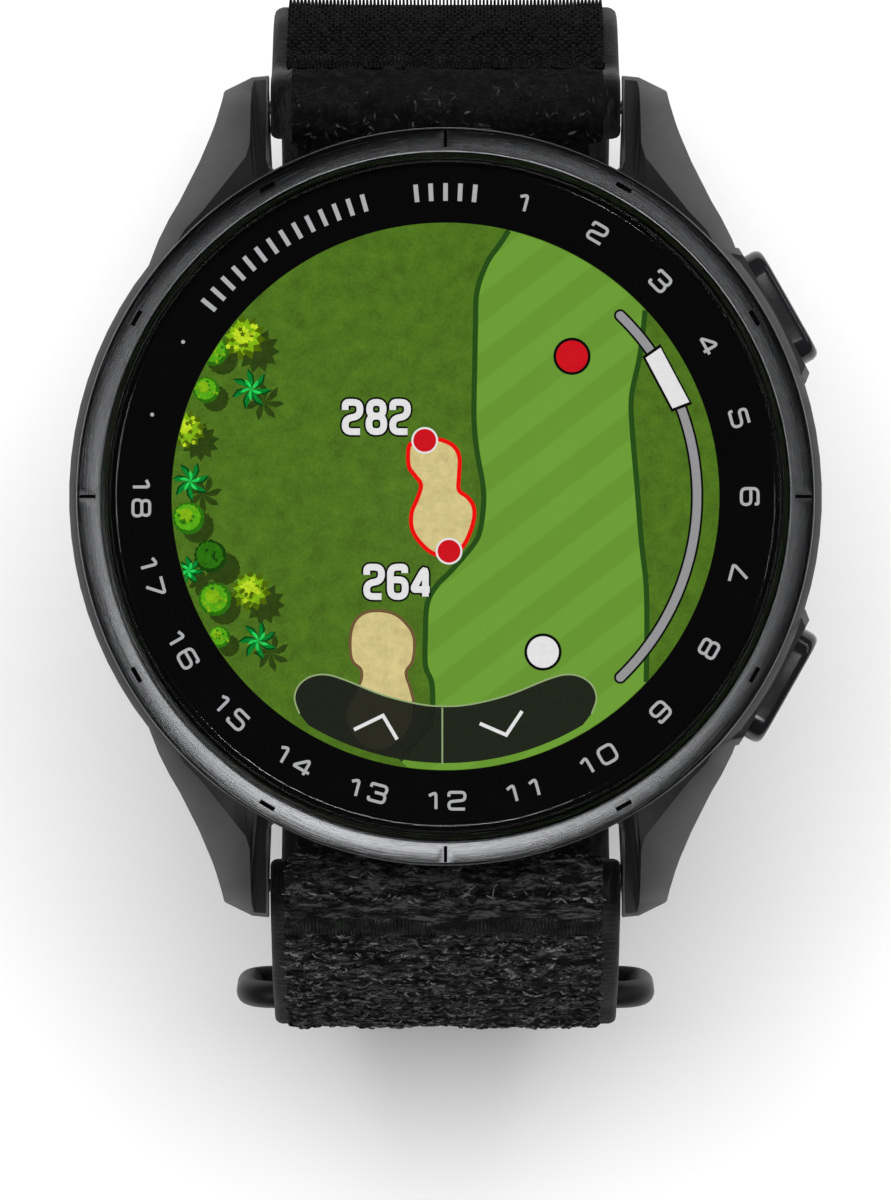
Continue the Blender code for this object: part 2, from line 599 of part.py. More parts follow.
def make_band(looks):
    half = CLOTH / 2
    inner = long_path()
    upper = add_pivot("upper_strap_axis", (0.0, BAR_Y, BAR_Z))
    route = inner + turn_path()
    extra = [1.1 if k < 10 else max(0.0, 1.1 - 0.4 * (k - 9)) for k in range(len(route))]
    solid = ribbon(route, [half] * len(route), [half + more for more in extra])
    strap = add_part("upper_strap", solid, looks["band"])
    finish_eye(strap, BAR_Y, BAR_Z, EYE_BORE, lever=True)
    hang(strap, upper)

    lower = add_pivot("lower_strap_axis", (0.0, -BAR_Y, BAR_Z))
    start = math.degrees(math.atan2(BAR_Z - SHORT_ARC_CENTRE[1], -BAR_Y - SHORT_ARC_CENTRE[0]))
    arc = [Vector(SHORT_ARC_CENTRE) + Vector(polar(SHORT_ARC_RADIUS, start + (180 - start) * k / 14))
           for k in range(15)]
    web = [SHORT_HALF_THICKNESS] * len(arc)
    strap = add_part("lower_strap", ribbon(arc, web, web), looks["band"])
    finish_eye(strap, -BAR_Y, BAR_Z, EYE_BORE, lever=True)
    finish_eye(strap, *RING_NEAR, RING_WIRE + 0.2)
    hang(strap, lower)

    ring_pivot = add_pivot("ring_axis", (0.0, *RING_NEAR))
    add_part("strap_ring", ring_solid(), looks["ring"], ring_pivot)

    tail = tail_path()
    fold = len(tail) - 1 - round(FOLD_POINT * PATH_STEPS)
    last = len(tail) - 1 - round(TAIL_END_POINT * PATH_STEPS)
    wrap, flap = tail[:fold + 1], tail[fold:last + 1]
    wrap[0] = wrap[0] + Vector((0.0, -0.3))
    wrap[-1] = wrap[-1] + (wrap[-2] - wrap[-1]).normalized() * 0.05
    flap[0] = flap[0] + (flap[1] - flap[0]).normalized() * 0.05
    add_part("band_wrap", ribbon(wrap, [half] * len(wrap), [half] * len(wrap)), looks["band"], upper)
    outer_edge = tail[fold] - normals(tail)[fold] * half
    flap_pivot = add_pivot("tail_fold_axis", (0.0, *outer_edge))
    add_part("band_tail", ribbon(flap, [half] * len(flap), [half] * len(flap)), looks["band"], flap_pivot)
    gap = LAYER_STEP - CLOTH
    patch = flap[1:-1]
    inner_side = [half + 0.75 * gap] * len(patch)
    outer_side = [-half - 0.25 * gap] * len(patch)
    add_part("hook_patch", ribbon(patch, inner_side, outer_side, BAND_HALF_WIDTH - 1.5), looks["hook"], flap_pivot)


def hang(part, pivot):
    """Move a finished part's origin onto its pivot."""
    part.data.transform(Matrix.Translation(-Vector(pivot.location)))
    part.parent = pivot


def finish_eye(strap, y, z, bore, lever=False):
    """Round a strap's end into an eye, bore it, and cut the window for a release lever."""
    frame = cross_frame(y, z)
    combine(strap, "UNION", [placed(disc(EYE_RADIUS, -BAND_HALF_WIDTH, BAND_HALF_WIDTH, 32), frame)])
    cuts = [placed(disc(bore, -BAND_HALF_WIDTH - 1, BAND_HALF_WIDTH + 1, 20), frame)]
    if lever:
        window = ((LEVER_X - 1.0, LEVER_X + RELEASE_TRAVEL + 1.0), (y - 0.9, y + 0.9), (z - 4.0, z - 0.3))
        cuts.append(block(*window))
    combine(strap, "DIFFERENCE", cuts)


def ring_solid(sides=12, corner_steps=5):
    """The bent-wire ring that joins the two straps, as a tube about a rounded rectangle."""
    near, far = Vector((0.0, *RING_NEAR)), Vector((0.0, *RING_FAR))
    down = (far - near).normalized()
    across = Vector((1.0, 0.0, 0.0))
    out = across.cross(down)
    middle = (near + far) / 2
    half = (far - near).length / 2
    rings = []
    for quarter in range(4):
        sx = 1 if quarter in (0, 3) else -1
        sd = 1 if quarter in (0, 1) else -1
        centre = middle + across * sx * (RING_HALF_WIDTH - RING_CORNER) + down * sd * (half - RING_CORNER)
        for k in range(corner_steps + 1):
            turn = math.radians(90 * quarter + 90 * k / corner_steps)
            outward = across * math.cos(turn) + down * math.sin(turn)
            spine = centre + outward * RING_CORNER
            rings.append([spine + (outward * math.cos(math.tau * m / sides) + out * math.sin(math.tau * m / sides))
                          * RING_WIRE for m in range(sides)])
    return loft(rings, closed=True)


# ---------------------------------------------------------------- the whole watch

def main():
    for thing in list(bpy.data.objects):
        bpy.data.objects.remove(thing, do_unlink=True)
    looks = make_materials()
    make_case(looks)
    make_front(looks)
    make_inside(looks)
    make_back(looks)
    for name, angle in BUTTON_ANGLES.items():
        make_button(name, angle, looks)
    make_band(looks)
    for name, y in (("upper", BAR_Y), ("lower", -BAR_Y)):
        make_spring_bar(name, y, bpy.data.objects[f"{name}_strap_axis"], looks)


main()
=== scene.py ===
"""The looks of the golf GPS watch: finer shapes, cloth, the lit course map and every material.

Lengths below are in millimetres in the CAD model's frame: the origin is the centre of the case back,
+Z out of the display, +Y to 12 o'clock and +X to the two buttons. MM turns them into metres.
"""

import json
import math
import random

import bmesh
import bpy
from mathutils import Matrix, Vector, geometry, noise


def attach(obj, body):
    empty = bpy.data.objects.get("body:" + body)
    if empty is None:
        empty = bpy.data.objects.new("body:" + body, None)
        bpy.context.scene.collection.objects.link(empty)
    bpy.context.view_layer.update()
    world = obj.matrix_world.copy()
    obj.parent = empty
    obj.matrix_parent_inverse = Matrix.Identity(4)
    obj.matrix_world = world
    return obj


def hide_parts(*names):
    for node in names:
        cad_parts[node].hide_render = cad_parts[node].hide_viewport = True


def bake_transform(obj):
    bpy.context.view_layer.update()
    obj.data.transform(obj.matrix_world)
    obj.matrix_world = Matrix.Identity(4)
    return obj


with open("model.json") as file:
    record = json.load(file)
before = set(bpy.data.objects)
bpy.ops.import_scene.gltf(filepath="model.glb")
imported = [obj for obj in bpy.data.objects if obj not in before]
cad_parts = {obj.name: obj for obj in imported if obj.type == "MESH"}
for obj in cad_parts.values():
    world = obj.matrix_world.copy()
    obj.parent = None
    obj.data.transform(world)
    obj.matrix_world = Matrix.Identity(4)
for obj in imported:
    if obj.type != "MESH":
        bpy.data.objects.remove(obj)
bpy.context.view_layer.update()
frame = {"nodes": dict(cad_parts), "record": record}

MM = 0.001
ACROSS = Vector((1.0, 0.0, 0.0))

# Places shared with the CAD model
BEZEL_RADIUS = 20.95
LENS_RADIUS = 19.1
LENS_TOP = 11.8
LENS_UNDER = 10.62
MASK_UNDER = 10.5
MASK_TOP = 10.57
MAP_RADIUS = 15.56
BUTTON_ANGLES = {"upper": 29.5, "lower": -29.5}
BUTTON_HEIGHT = 5.2
CAP_HALF_LENGTH = 3.55
CAP_HALF_HEIGHT = 1.5
CAP_BACK = 20.95
CAP_FRONT = 22.65
BAR_Y = 22.4
BAR_Z = 2.8
BAND_HALF_WIDTH = 10.1
BAND_BASE = -44.0
CLOTH = 1.3
LAYER_STEP = 1.7
TURN_RADIUS = 1.75
RING_NEAR = Vector((-29.5, -13.0))
RING_FAR = Vector((-28.87, -18.97))
RING_WIRE = 0.8
RING_HALF_WIDTH = 11.6
RING_CORNER = 1.45
SHORT_ARC_CENTRE = Vector((-8.37, -13.0))
SHORT_ARC_RADIUS = 21.13
FLOOR = -44.6

# Band paths: curve points per span, and how many spans the tail stops short of the 12 o'clock bar
PATH_STEPS = 12
TAIL_SPANS_CUT = 4.3

# Cloth: bare woven edges, and where the hook tape runs along the long strap
SELVAGE = 0.95
SHEET_EDGE_STEPS = 6
ROLL_RADIUS = 1.4
HOOK_START = 6.9
HOOK_END = 36.0
HOOK_PITCH = 0.43

# Undersides of the map's stacked plates, each INK thick
INK = 0.02
LEVELS = {
    "fairway": 10.09, "shadow": 10.092, "edge": 10.11, "sand": 10.13, "sand_edge": 10.15, "halo": 10.18,
    "mark": 10.2, "mark_top": 10.22, "thumb_rim": 10.26, "thumb": 10.28, "bar": 10.32, "bar_edge": 10.34,
    "arrow": 10.36,
}


# ---------------------------------------------------------------- materials

class Nodes:
    """A short way to build one material's node tree."""

    def __init__(self, name):
        self.material = bpy.data.materials.new(name)
        self.material.use_nodes = True
        self.tree = self.material.node_tree
        self.shader = self.tree.nodes["Principled BSDF"]
        self.output = self.tree.nodes["Material Output"]

    def add(self, kind, **inputs):
        node = self.tree.nodes.new(kind)
        self.set(node, **inputs)
        return node

    def set(self, node, **inputs):
        """Fill inputs by name, with _ for a space, or by number as i0, i1 and so on."""
        for key, value in inputs.items():
            numbered = key[0] == "i" and key[1:].isdigit()
            socket = node.inputs[int(key[1:]) if numbered else key.replace("_", " ")]
            if isinstance(value, bpy.types.NodeSocket):
                self.tree.links.new(value, socket)
            else:
                socket.default_value = value

    def place(self, scale=(1.0, 1.0, 1.0)):
        """Object coordinates in millimetres, scaled."""
        coords = self.tree.nodes.new("ShaderNodeTexCoord")
        mapping = self.tree.nodes.new("ShaderNodeMapping")
        mapping.inputs["Scale"].default_value = [part / MM for part in scale]
        self.tree.links.new(coords.outputs["Object"], mapping.inputs["Vector"])
        return mapping.outputs["Vector"]

    def noise(self, vector, scale, detail=3.0, rough=0.5):
        node = self.add("ShaderNodeTexNoise", Vector=vector, Scale=scale, Detail=detail, Roughness=rough)
        return node.outputs["Fac"]

    def ramp(self, value, *stops):
        node = self.add("ShaderNodeValToRGB", Fac=value)
        ramp = node.color_ramp
        while len(ramp.elements) < len(stops):
            ramp.elements.new(0.5)
        for element, (place, colour) in zip(ramp.elements, stops):
            element.position = place
            element.color = colour if len(colour) == 4 else (*colour, 1.0)
        return node.outputs["Color"]

    def math(self, operation, a, b=0.0):
        node = self.tree.nodes.new("ShaderNodeMath")
        node.operation = operation
        self.set(node, i0=a, i1=b)
        return node.outputs[0]

    def vector_math(self, operation, vector):
        node = self.tree.nodes.new("ShaderNodeVectorMath")
        node.operation = operation
        self.set(node, i0=vector)
        return node.outputs

    def mix(self, share, a, b):
        node = self.tree.nodes.new("ShaderNodeMix")
        node.data_type = "RGBA"
        self.set(node, i0=share, i6=a, i7=b)
        return node.outputs[2]

    def bump(self, height, distance):
        """Raise the surface by height times distance in millimetres."""
        node = self.add("ShaderNodeBump", Height=height, Distance=distance * MM, Strength=1.0)
        self.tree.links.new(node.outputs["Normal"], self.shader.inputs["Normal"])

    def range(self, value, low, high):
        node = self.add("ShaderNodeMapRange", Value=value)
        node.inputs["To Min"].default_value = low
        node.inputs["To Max"].default_value = high
        return node.outputs[0]


def linear(red, green, blue):
    """A display colour of 0 to 255 as the linear colour that shaders use."""
    parts = [part / 255 for part in (red, green, blue)]
    return tuple(p / 12.92 if p <= 0.04045 else ((p + 0.055) / 1.055) ** 2.4 for p in parts)


def grey(value):
    return (value, value, value)


def moulded(name, colour, roughness, grain=0.012, grain_scale=9.0, flecks=0.0, metallic=0.0, gloss=0.5):
    """Moulded or painted surface: fine spark-eroded grain, faint mottling and handling polish."""
    n = Nodes(name)
    place = n.place()
    fine = n.noise(place, grain_scale, 4.0, 0.6)
    broad = n.noise(place, 0.35, 3.0)
    shade = [tuple(part * gain for part in colour) for gain in (0.93, 1.08)]
    base = n.ramp(broad, (0.3, shade[0]), (0.7, shade[1]))
    if flecks:
        speck = n.ramp(n.noise(place, 14.0, 2.0), (0.60, grey(0.0)), (0.72, grey(1.0)))
        base = n.mix(n.math("MULTIPLY", speck, flecks), base, (*[part * 2.6 for part in colour], 1.0))
    n.set(n.shader, Base_Color=base, Metallic=metallic, Specular_IOR_Level=gloss)
    n.set(n.shader, Roughness=n.range(n.noise(place, 1.2, 4.0), roughness - 0.07, roughness + 0.08))
    n.bump(fine, grain)
    return n.material


def metal(name, colour, roughness, grain=0.004):
    n = Nodes(name)
    place = n.place()
    base = n.ramp(n.noise(place, 0.9, 4.0), (0.3, [part * 0.85 for part in colour]), (0.7, colour))
    n.set(n.shader, Base_Color=base, Metallic=1.0)
    n.set(n.shader, Roughness=n.range(n.noise(place, 3.0, 4.0), roughness - 0.06, roughness + 0.1))
    n.bump(n.noise(place, 22.0, 2.0), grain)
    return n.material


def ring_place(n, across, around):
    """Coordinates that follow a turned ring: distance from the axis plus height, then the way round."""
    split = n.add("ShaderNodeSeparateXYZ", Vector=n.place())
    flat = n.add("ShaderNodeCombineXYZ", X=split.outputs[0], Y=split.outputs[1])
    length = n.vector_math("LENGTH", flat.outputs[0])[1]
    unit = n.vector_math("NORMALIZE", flat.outputs[0])[0]
    turn = n.add("ShaderNodeSeparateXYZ", Vector=unit)
    radius = n.math("MULTIPLY", n.math("ADD", length, split.outputs[2]), across)
    parts = [radius, n.math("MULTIPLY", turn.outputs[0], around), n.math("MULTIPLY", turn.outputs[1], around)]
    return n.add("ShaderNodeCombineXYZ", X=parts[0], Y=parts[1], Z=parts[2]).outputs[0]


def turned_metal(name, colour):
    """Gunmetal with circular brushing."""
    n = Nodes(name)
    along = ring_place(n, 14.0, 5.0)
    lines = n.noise(along, 1.0, 5.0, 0.65)
    broad = n.noise(n.place(), 0.25, 3.0)
    base = n.ramp(lines, (0.25, [part * 0.7 for part in colour]), (0.75, [part * 1.2 for part in colour]))
    base = n.mix(0.35, base, n.ramp(broad, (0.3, [part * 0.8 for part in colour]), (0.7, colour)))
    n.set(n.shader, Base_Color=base, Metallic=1.0, Anisotropic=0.7)
    n.set(n.shader, Roughness=n.range(lines, 0.2, 0.32))
    tangent = n.add("ShaderNodeTangent")
    tangent.direction_type = "RADIAL"
    tangent.axis = "Z"
    n.set(n.shader, Tangent=tangent.outputs[0])
    n.bump(lines, 0.006)
    return n.material


def clear_glass(name, tint=1.0, gloss=1.0):
    """Coated glass: what is behind it shows, with a Fresnel reflection."""
    n = Nodes(name)
    n.tree.nodes.remove(n.shader)
    fresnel = n.add("ShaderNodeFresnel", IOR=1.35)
    smear = n.range(n.noise(n.place(), 0.4, 3.0), 0.8 * gloss, gloss)
    see = n.add("ShaderNodeBsdfTransparent", Color=(tint, tint, tint, 1.0))
    shine = n.add("ShaderNodeBsdfAnisotropic", Color=(1.0, 1.0, 1.0, 1.0), Roughness=0.08)
    share = n.math("MULTIPLY", fresnel.outputs[0], smear)
    both = n.add("ShaderNodeMixShader", i0=share, i1=see.outputs[0], i2=shine.outputs[0])
    n.tree.links.new(both.outputs[0], n.output.inputs["Surface"])
    return n.material


def cloth(name, dark, light, threads, share=0.5, streak=(1.0, 1.0, 1.0), nap=0.16, sheen=0.02):
    """Melange pile: dark fibres flecked with lighter ones, matt, with a soft sheen."""
    n = Nodes(name)
    place = n.place(streak)
    clump = n.noise(place, 1.35, 5.0, 0.7)
    fibre = n.noise(place, threads, 4.0, 0.75)
    heather = n.math("ADD", n.math("MULTIPLY", clump, 0.6), n.math("MULTIPLY", fibre, 0.4))
    between = [0.35 * (a + b) for a, b in zip(dark, light)]
    base = n.ramp(heather, (share - 0.045, dark), (share + 0.015, between), (share + 0.06, light))
    n.set(n.shader, Base_Color=base, Roughness=0.92, Sheen_Weight=sheen, Sheen_Roughness=0.45)
    n.set(n.shader, Specular_IOR_Level=0.05)
    rough = n.math("ADD", fibre, n.math("MULTIPLY", n.noise(place, threads * 2.6, 2.0), 0.5))
    n.bump(n.math("ADD", rough, clump), nap)
    return n.material


def glow(name, colour_of):
    """A surface that gives off its own light: the screen's lit pixels, and for the dial print a glow that is
    painted light; colour_of builds its colour from the material's nodes.
    """
    n = Nodes(name)
    n.set(n.shader, Base_Color=(0.0, 0.0, 0.0, 1.0), Roughness=0.6, Specular_IOR_Level=0.1)
    n.set(n.shader, Emission_Color=colour_of(n), Emission_Strength=1.0)
    return n.material


def mottled(colour, spread=0.12, scale=2.2, grain=9.0):
    """Colour with broad mottling and fine grain, in display values."""
    def build(n):
        place = n.place()
        low = linear(*[part * (1 - spread) for part in colour])
        high = linear(*[min(part * (1 + spread), 255) for part in colour])
        broad = n.noise(place, scale, 3.0, 0.6)
        fine = n.noise(place, grain, 2.0, 0.7)
        both = n.math("ADD", n.math("MULTIPLY", broad, 0.55), n.math("MULTIPLY", fine, 0.45))
        return n.ramp(both, (0.32, low), (0.68, high))
    return build


def mown(light, dark, pitch=2.6, direction=(-0.616, 0.788)):
    """Fairway grass with mowing stripes across the given direction."""
    def build(n):
        place = n.place()
        split = n.add("ShaderNodeSeparateXYZ", Vector=place)
        along = n.math("ADD", n.math("MULTIPLY", split.outputs[0], direction[0]),
                       n.math("MULTIPLY", split.outputs[1], direction[1]))
        wave = n.math("SINE", n.math("MULTIPLY", along, math.tau / pitch))
        stripe = n.math("ADD", n.math("MULTIPLY", wave, 3.0), 0.5)
        grain = n.noise(place, 11.0, 3.0, 0.7)
        shaded = n.math("ADD", n.range(n.math("MAXIMUM", 0.0, n.math("MINIMUM", 1.0, stripe)), 0.2, 0.8),
                        n.math("MULTIPLY", n.math("SUBTRACT", grain, 0.5), 0.5))
        return n.ramp(shaded, (0.0, linear(*dark)), (1.0, linear(*light)))
    return build


def plain(colour):
    """An almost even colour."""
    return mottled(colour, 0.03, 3.0, 14.0)


LOOKS = {
    "case": moulded("case_polymer_grain", (0.034, 0.0343, 0.035), 0.46, 0.010, 11.0, 0.3),
    # A near-black copy of the case polymer, laid on faces by their direction as painted shade
    "case_painted_shade": moulded("case_polymer_painted_shade", (0.0065, 0.0065, 0.007), 0.5, 0.010, 11.0, 0.3),
    "bezel": turned_metal("bezel_turned_gunmetal", (0.135, 0.138, 0.142)),
    "polymer": moulded("inner_polymer", (0.020, 0.020, 0.021), 0.55, 0.014, 8.0, 0.2),
    "back": moulded("rear_cover_polymer", (0.022, 0.022, 0.024), 0.5, 0.018, 7.0, 0.3),
    "rubber": moulded("seal_rubber_matt", (0.016, 0.016, 0.016), 0.8, 0.02, 6.0),
    "board": moulded("board_green", (0.012, 0.10, 0.04), 0.42, 0.01, 5.0),
    "flex": moulded("flex_amber", (0.42, 0.20, 0.045), 0.4, 0.008, 4.0),
    "steel": metal("spring_steel", (0.58, 0.57, 0.55), 0.28),
    "gold": metal("gold_plate", (0.86, 0.62, 0.26), 0.24),
    "cell": moulded("battery_foil", (0.24, 0.24, 0.26), 0.42, 0.02, 2.0, metallic=0.4),
    "led": moulded("led_body", (0.20, 0.62, 0.26), 0.25, 0.004, 6.0),
    "button": moulded("button_gloss_black", (0.010, 0.010, 0.011), 0.17, 0.001, 5.0),
    "ring": moulded("ring_satin_coat", (0.011, 0.011, 0.0115), 0.5, 0.006, 10.0, metallic=0.25),
    "glass": clear_glass("lens_coated_glass", 0.985, 0.9),
    "window": clear_glass("sensor_window_glass", 0.55, 1.0),
    "mask": moulded("printed_mask", (0.0022, 0.0022, 0.0024), 0.6, 0.0005, 20.0, gloss=0.0),
    "pile": cloth("pile_melange", (0.0006, 0.0006, 0.0006), (0.011, 0.011, 0.0115), 5.5, 0.52,
                  (1.0, 1.0, 1.0), 0.6),
    "streaked": cloth("pile_streaked", (0.0020, 0.0020, 0.0021), (0.095, 0.096, 0.099), 4.2, 0.51,
                      (0.42, 1.3, 1.3), 0.6),
    "fleck": cloth("pile_fleck", (0.004, 0.004, 0.0045), (0.12, 0.121, 0.125), 1.6, 0.5, nap=0.05),
    "fleck_dark": cloth("pile_fleck_dark", (0.003, 0.003, 0.003), (0.045, 0.045, 0.046), 1.6, 0.5, nap=0.05),
    "selvage": cloth("selvage_woven", (0.003, 0.003, 0.0032), (0.012, 0.012, 0.013), 7.0, 0.52,
                     (1.0, 0.25, 0.25), 0.06, 0.1),
    "hooks": cloth("hook_nylon", (0.0015, 0.0015, 0.0015), (0.011, 0.011, 0.0115), 6.0, 0.5, nap=0.02),
    "tape": cloth("hook_tape_back", (0.0010, 0.0010, 0.0010), (0.005, 0.005, 0.0052), 5.0, 0.5, nap=0.08),
    "thread": cloth("stitch_thread", (0.0035, 0.0042, 0.0035), (0.020, 0.024, 0.020), 9.0, 0.5, nap=0.03),
}

SLOT_LOOKS = {
    "case_polymer": "case", "bezel_metal": "bezel", "lens_glass": "glass", "display": "mask",
    "black_polymer": "polymer", "seal_rubber": "rubber", "circuit_board": "board", "flex_circuit": "flex",
    "steel": "steel", "gold_contacts": "gold", "battery_wrap": "cell", "led_lens": "led",
    "button_gloss": "button", "band_cloth": "pile", "hook_tape": "tape", "ring_metal": "ring",
}


def dress_cad_nodes():
    """Give each CAD node that stays in view its finished material."""
    slots = {part["node"]: part["material_slot"] for part in frame["record"]["subparts"]}
    special = {"sensor_window": "window", "rear_cover": "back"}
    for name, node in frame["nodes"].items():
        look = LOOKS[special.get(name, SLOT_LOOKS[slots[name]])]
        node.data.materials.clear()
        node.data.materials.append(look)


# ---------------------------------------------------------------- mesh building

def piece(name, solid, looks, body, replaces=(), smooth=30.0, pick=None):
    """Make one piece from a solid in millimetres; pick gives a face's material by its number."""
    vertices, faces = solid
    mesh = bpy.data.meshes.new(name)
    mesh.from_pydata([Vector(point) * MM for point in vertices], [], faces)
    for look in looks:
        mesh.materials.append(LOOKS[look])
    if pick:
        mesh.polygons.foreach_set("material_index", [pick(index) for index in range(len(faces))])
    work = bmesh.new()
    work.from_mesh(mesh)
    bmesh.ops.recalc_face_normals(work, faces=work.faces)
    work.to_mesh(mesh)
    work.free()
    mesh.shade_smooth()
    if smooth:
        mesh.set_sharp_from_angle(angle=math.radians(smooth))
    made = bpy.data.objects.new(name, mesh)
    bpy.context.scene.collection.objects.link(made)
    settle(made, body, replaces)
    return made


def settle(made, body, replaces=()):
    if body:
        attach(made, body)
    if replaces:
        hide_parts(*replaces)


def loft(rings, closed=False):
    count = len(rings[0])
    vertices = [point for ring in rings for point in ring]
    faces = []
    for i in range(len(rings) if closed else len(rings) - 1):
        a = i * count
        b = (i + 1) % len(rings) * count
        faces += [(a + k, a + (k + 1) % count, b + (k + 1) % count, b + k) for k in range(count)]
    if not closed:
        faces.append(tuple(range(count))[::-1])
        faces.append(tuple(range(len(vertices) - count, len(vertices))))
    return vertices, faces


def joined(solids):
    """Several solids as one list of vertices and faces."""
    vertices, faces = [], []
    for more, sides in solids:
        start = len(vertices)
        vertices += list(more)
        faces += [tuple(index + start for index in side) for side in sides]
    return vertices, faces


def placed(solid, matrix):
    vertices, faces = solid
    return [matrix @ Vector(point) for point in vertices], faces


def turned(profile, segments=192, closed=False):
    angles = [math.tau * k / segments for k in range(segments)]
    rings = [[(r * math.cos(a), r * math.sin(a), h) for a in angles] for r, h in profile]
    return loft(rings, closed)


def polar(radius, angle):
    return Vector((radius * math.cos(math.radians(angle)), radius * math.sin(math.radians(angle))))


def clock(radius, angle):
    """A point on the dial, by an angle clockwise from 12 o'clock."""
    return polar(radius, 90 - angle)


def radial_frame(angle, height):
    """Local Z runs outward from the watch's axis, local X along the case, local Y up."""
    outward = Vector((*polar(1.0, angle), 0.0))
    along = Vector((-outward.y, outward.x, 0.0))
    turn = Matrix((along, Vector((0.0, 0.0, 1.0)), outward)).transposed().to_4x4()
    return Matrix.Translation((0.0, 0.0, height)) @ turn


def slab(points, faces, bottom, top):
    """A thin plate from a flat mesh of (x, y) points."""
    count = len(points)
    vertices = [(x, y, top) for x, y in points] + [(x, y, bottom) for x, y in points]
    edges = {}
    for face in faces:
        for a, b in zip(face, face[1:] + face[:1]):
            edges[(a, b)] = edges.get((a, b), 0) + 1
    sides = [(a, b, b + count, a + count) for a, b in edges if (b, a) not in edges]
    below = [tuple(index + count for index in face[::-1]) for face in faces]
    return vertices, list(faces) + below + sides


def plate(outline, bottom, top):
    """A flat plate with the given outline."""
    outline = [Vector(point) for point in outline]
    area = sum(a.x * b.y - b.x * a.y for a, b in zip(outline, outline[1:] + outline[:1]))
    if area < 0:
        outline = outline[::-1]
    triangles = geometry.tessellate_polygon([[Vector((*point, 0.0)) for point in outline]])
    faces = []
    for triangle in triangles:
        a, b, c = [outline[index] for index in triangle]
        turn = (b - a).cross(c - a)
        faces.append(tuple(triangle) if turn > 0 else tuple(triangle[::-1]))
    return slab(outline, faces, bottom, top)


def stroke(line, width, bottom, top, closed=False):
    """A drawn line of constant width along (x, y) points."""
    line = [Vector(point) for point in line]
    count = len(line)
    left, right = [], []
    for k, point in enumerate(line):
        before = line[k - 1] if closed or k else point
        after = line[(k + 1) % count] if closed or k < count - 1 else point
        into = (point - before).normalized() if (point - before).length else None
        out = (after - point).normalized() if (after - point).length else None
        into, out = into or out, out or into
        middle = (into + out).normalized()
        side = Vector((-middle.y, middle.x))
        reach = width / 2 / max(side.dot(Vector((-out.y, out.x))), 0.5)
        left.append(point + side * reach)
        right.append(point - side * reach)
    steps = count if closed else count - 1
    faces = [(k, k + count, (k + 1) % count + count, (k + 1) % count) for k in range(steps)]
    return slab(left + right, faces, bottom, top)


def filleted(line, radius, closed=False, steps=5):
    """Round a line's corners."""
    line = [Vector(point) for point in line]
    count = len(line)
    smooth = []
    for k, point in enumerate(line):
        if not closed and k in (0, count - 1):
            smooth.append(point)
            continue
        before, after = line[k - 1], line[(k + 1) % count]
        reach = min(radius, 0.49 * (point - before).length, 0.49 * (after - point).length)
        a = point + (before - point).normalized() * reach
        b = point + (after - point).normalized() * reach
        for step in range(steps + 1):
            t = step / steps
            smooth.append(a * (1 - t) ** 2 + point * 2 * t * (1 - t) + b * t ** 2)
    return smooth


def smooth_path(points, per_span=PATH_STEPS, closed=False):
    """A Catmull-Rom curve through flat points."""
    points = [Vector(point) for point in points]
    count = len(points)
    if closed:
        padded = [points[-1]] + points + points[:2]
    else:
        padded = [points[0]] + points + [points[-1]]
    path = []
    for k in range(count if closed else count - 1):
        a, b, c, d = padded[k:k + 4]
        for step in range(per_span):
            t = step / per_span
            path.append(0.5 * (2 * b + (c - a) * t + (2 * a - 5 * b + 4 * c - d) * t ** 2
                               + (3 * b - a - 3 * c + d) * t ** 3))
    if not closed:
        path.append(points[-1])
    return path


def circle(centre, radius, steps=48):
    return [Vector(centre) + polar(radius, 360 * k / steps) for k in range(steps)]


def hoop(centre, across, up, radius, sides, start=0.0):
    """Points round a centre, in the plane of two unit vectors."""
    angles = [start + math.tau * k / sides for k in range(sides)]
    return [centre + (across * math.cos(angle) + up * math.sin(angle)) * radius for angle in angles]


def ease(share):
    """0 to 1 with a soft start and end."""
    share = min(max(share, 0.0), 1.0)
    return share * share * (3 - 2 * share)


# ---------------------------------------------------------------- case, bezel and lens

def make_case():
    """The CAD case with its corners broken by a small bevel."""
    source = frame["nodes"]["mid_case"]
    mesh = source.data.copy()
    mesh.name = "case_shell"
    work = bmesh.new()
    work.from_mesh(mesh)
    bmesh.ops.remove_doubles(work, verts=work.verts, dist=0.002 * MM)
    bmesh.ops.dissolve_limit(work, angle_limit=math.radians(0.6), verts=work.verts, edges=work.edges)
    work.to_mesh(mesh)
    work.free()
    shell = bpy.data.objects.new("case_shell", mesh)
    bpy.context.scene.collection.objects.link(shell)
    bevel = shell.modifiers.new("broken_edges", "BEVEL")
    bevel.width = 0.14 * MM
    bevel.segments = 2
    bevel.limit_method = "ANGLE"
    bevel.angle_limit = math.radians(28)
    apply_modifiers(shell)
    shell.data.shade_smooth()
    shell.data.set_sharp_from_angle(angle=math.radians(32))
    shell.data.materials.clear()
    # Painted shade: faces that point up or into the strap gaps get the near-black copy of the case polymer
    for look in ("case", "case_painted_shade"):
        shell.data.materials.append(LOOKS[look])
    for face in shell.data.polygons:
        face.material_index = 1 if is_dark_facet(face) else 0
    settle(shell, "case", ["mid_case"])


def is_dark_facet(face):
    """Painted shade: the flat shelf round the bezel, the walls of the strap gaps and everything inside get a
    near-black copy of the case polymer, chosen by where each face points.
    """
    centre, normal = face.center / MM, face.normal
    inside = centre.x ** 2 + centre.y ** 2 < 19.5 ** 2
    gap_wall = abs(normal.x) > 0.6 and normal.x * centre.x < 0
    return normal.z > 0.8 or inside or gap_wall


def apply_modifiers(thing):
    graph = bpy.context.evaluated_depsgraph_get()
    mesh = bpy.data.meshes.new_from_object(thing.evaluated_get(graph))
    thing.modifiers.clear()
    thing.data = mesh


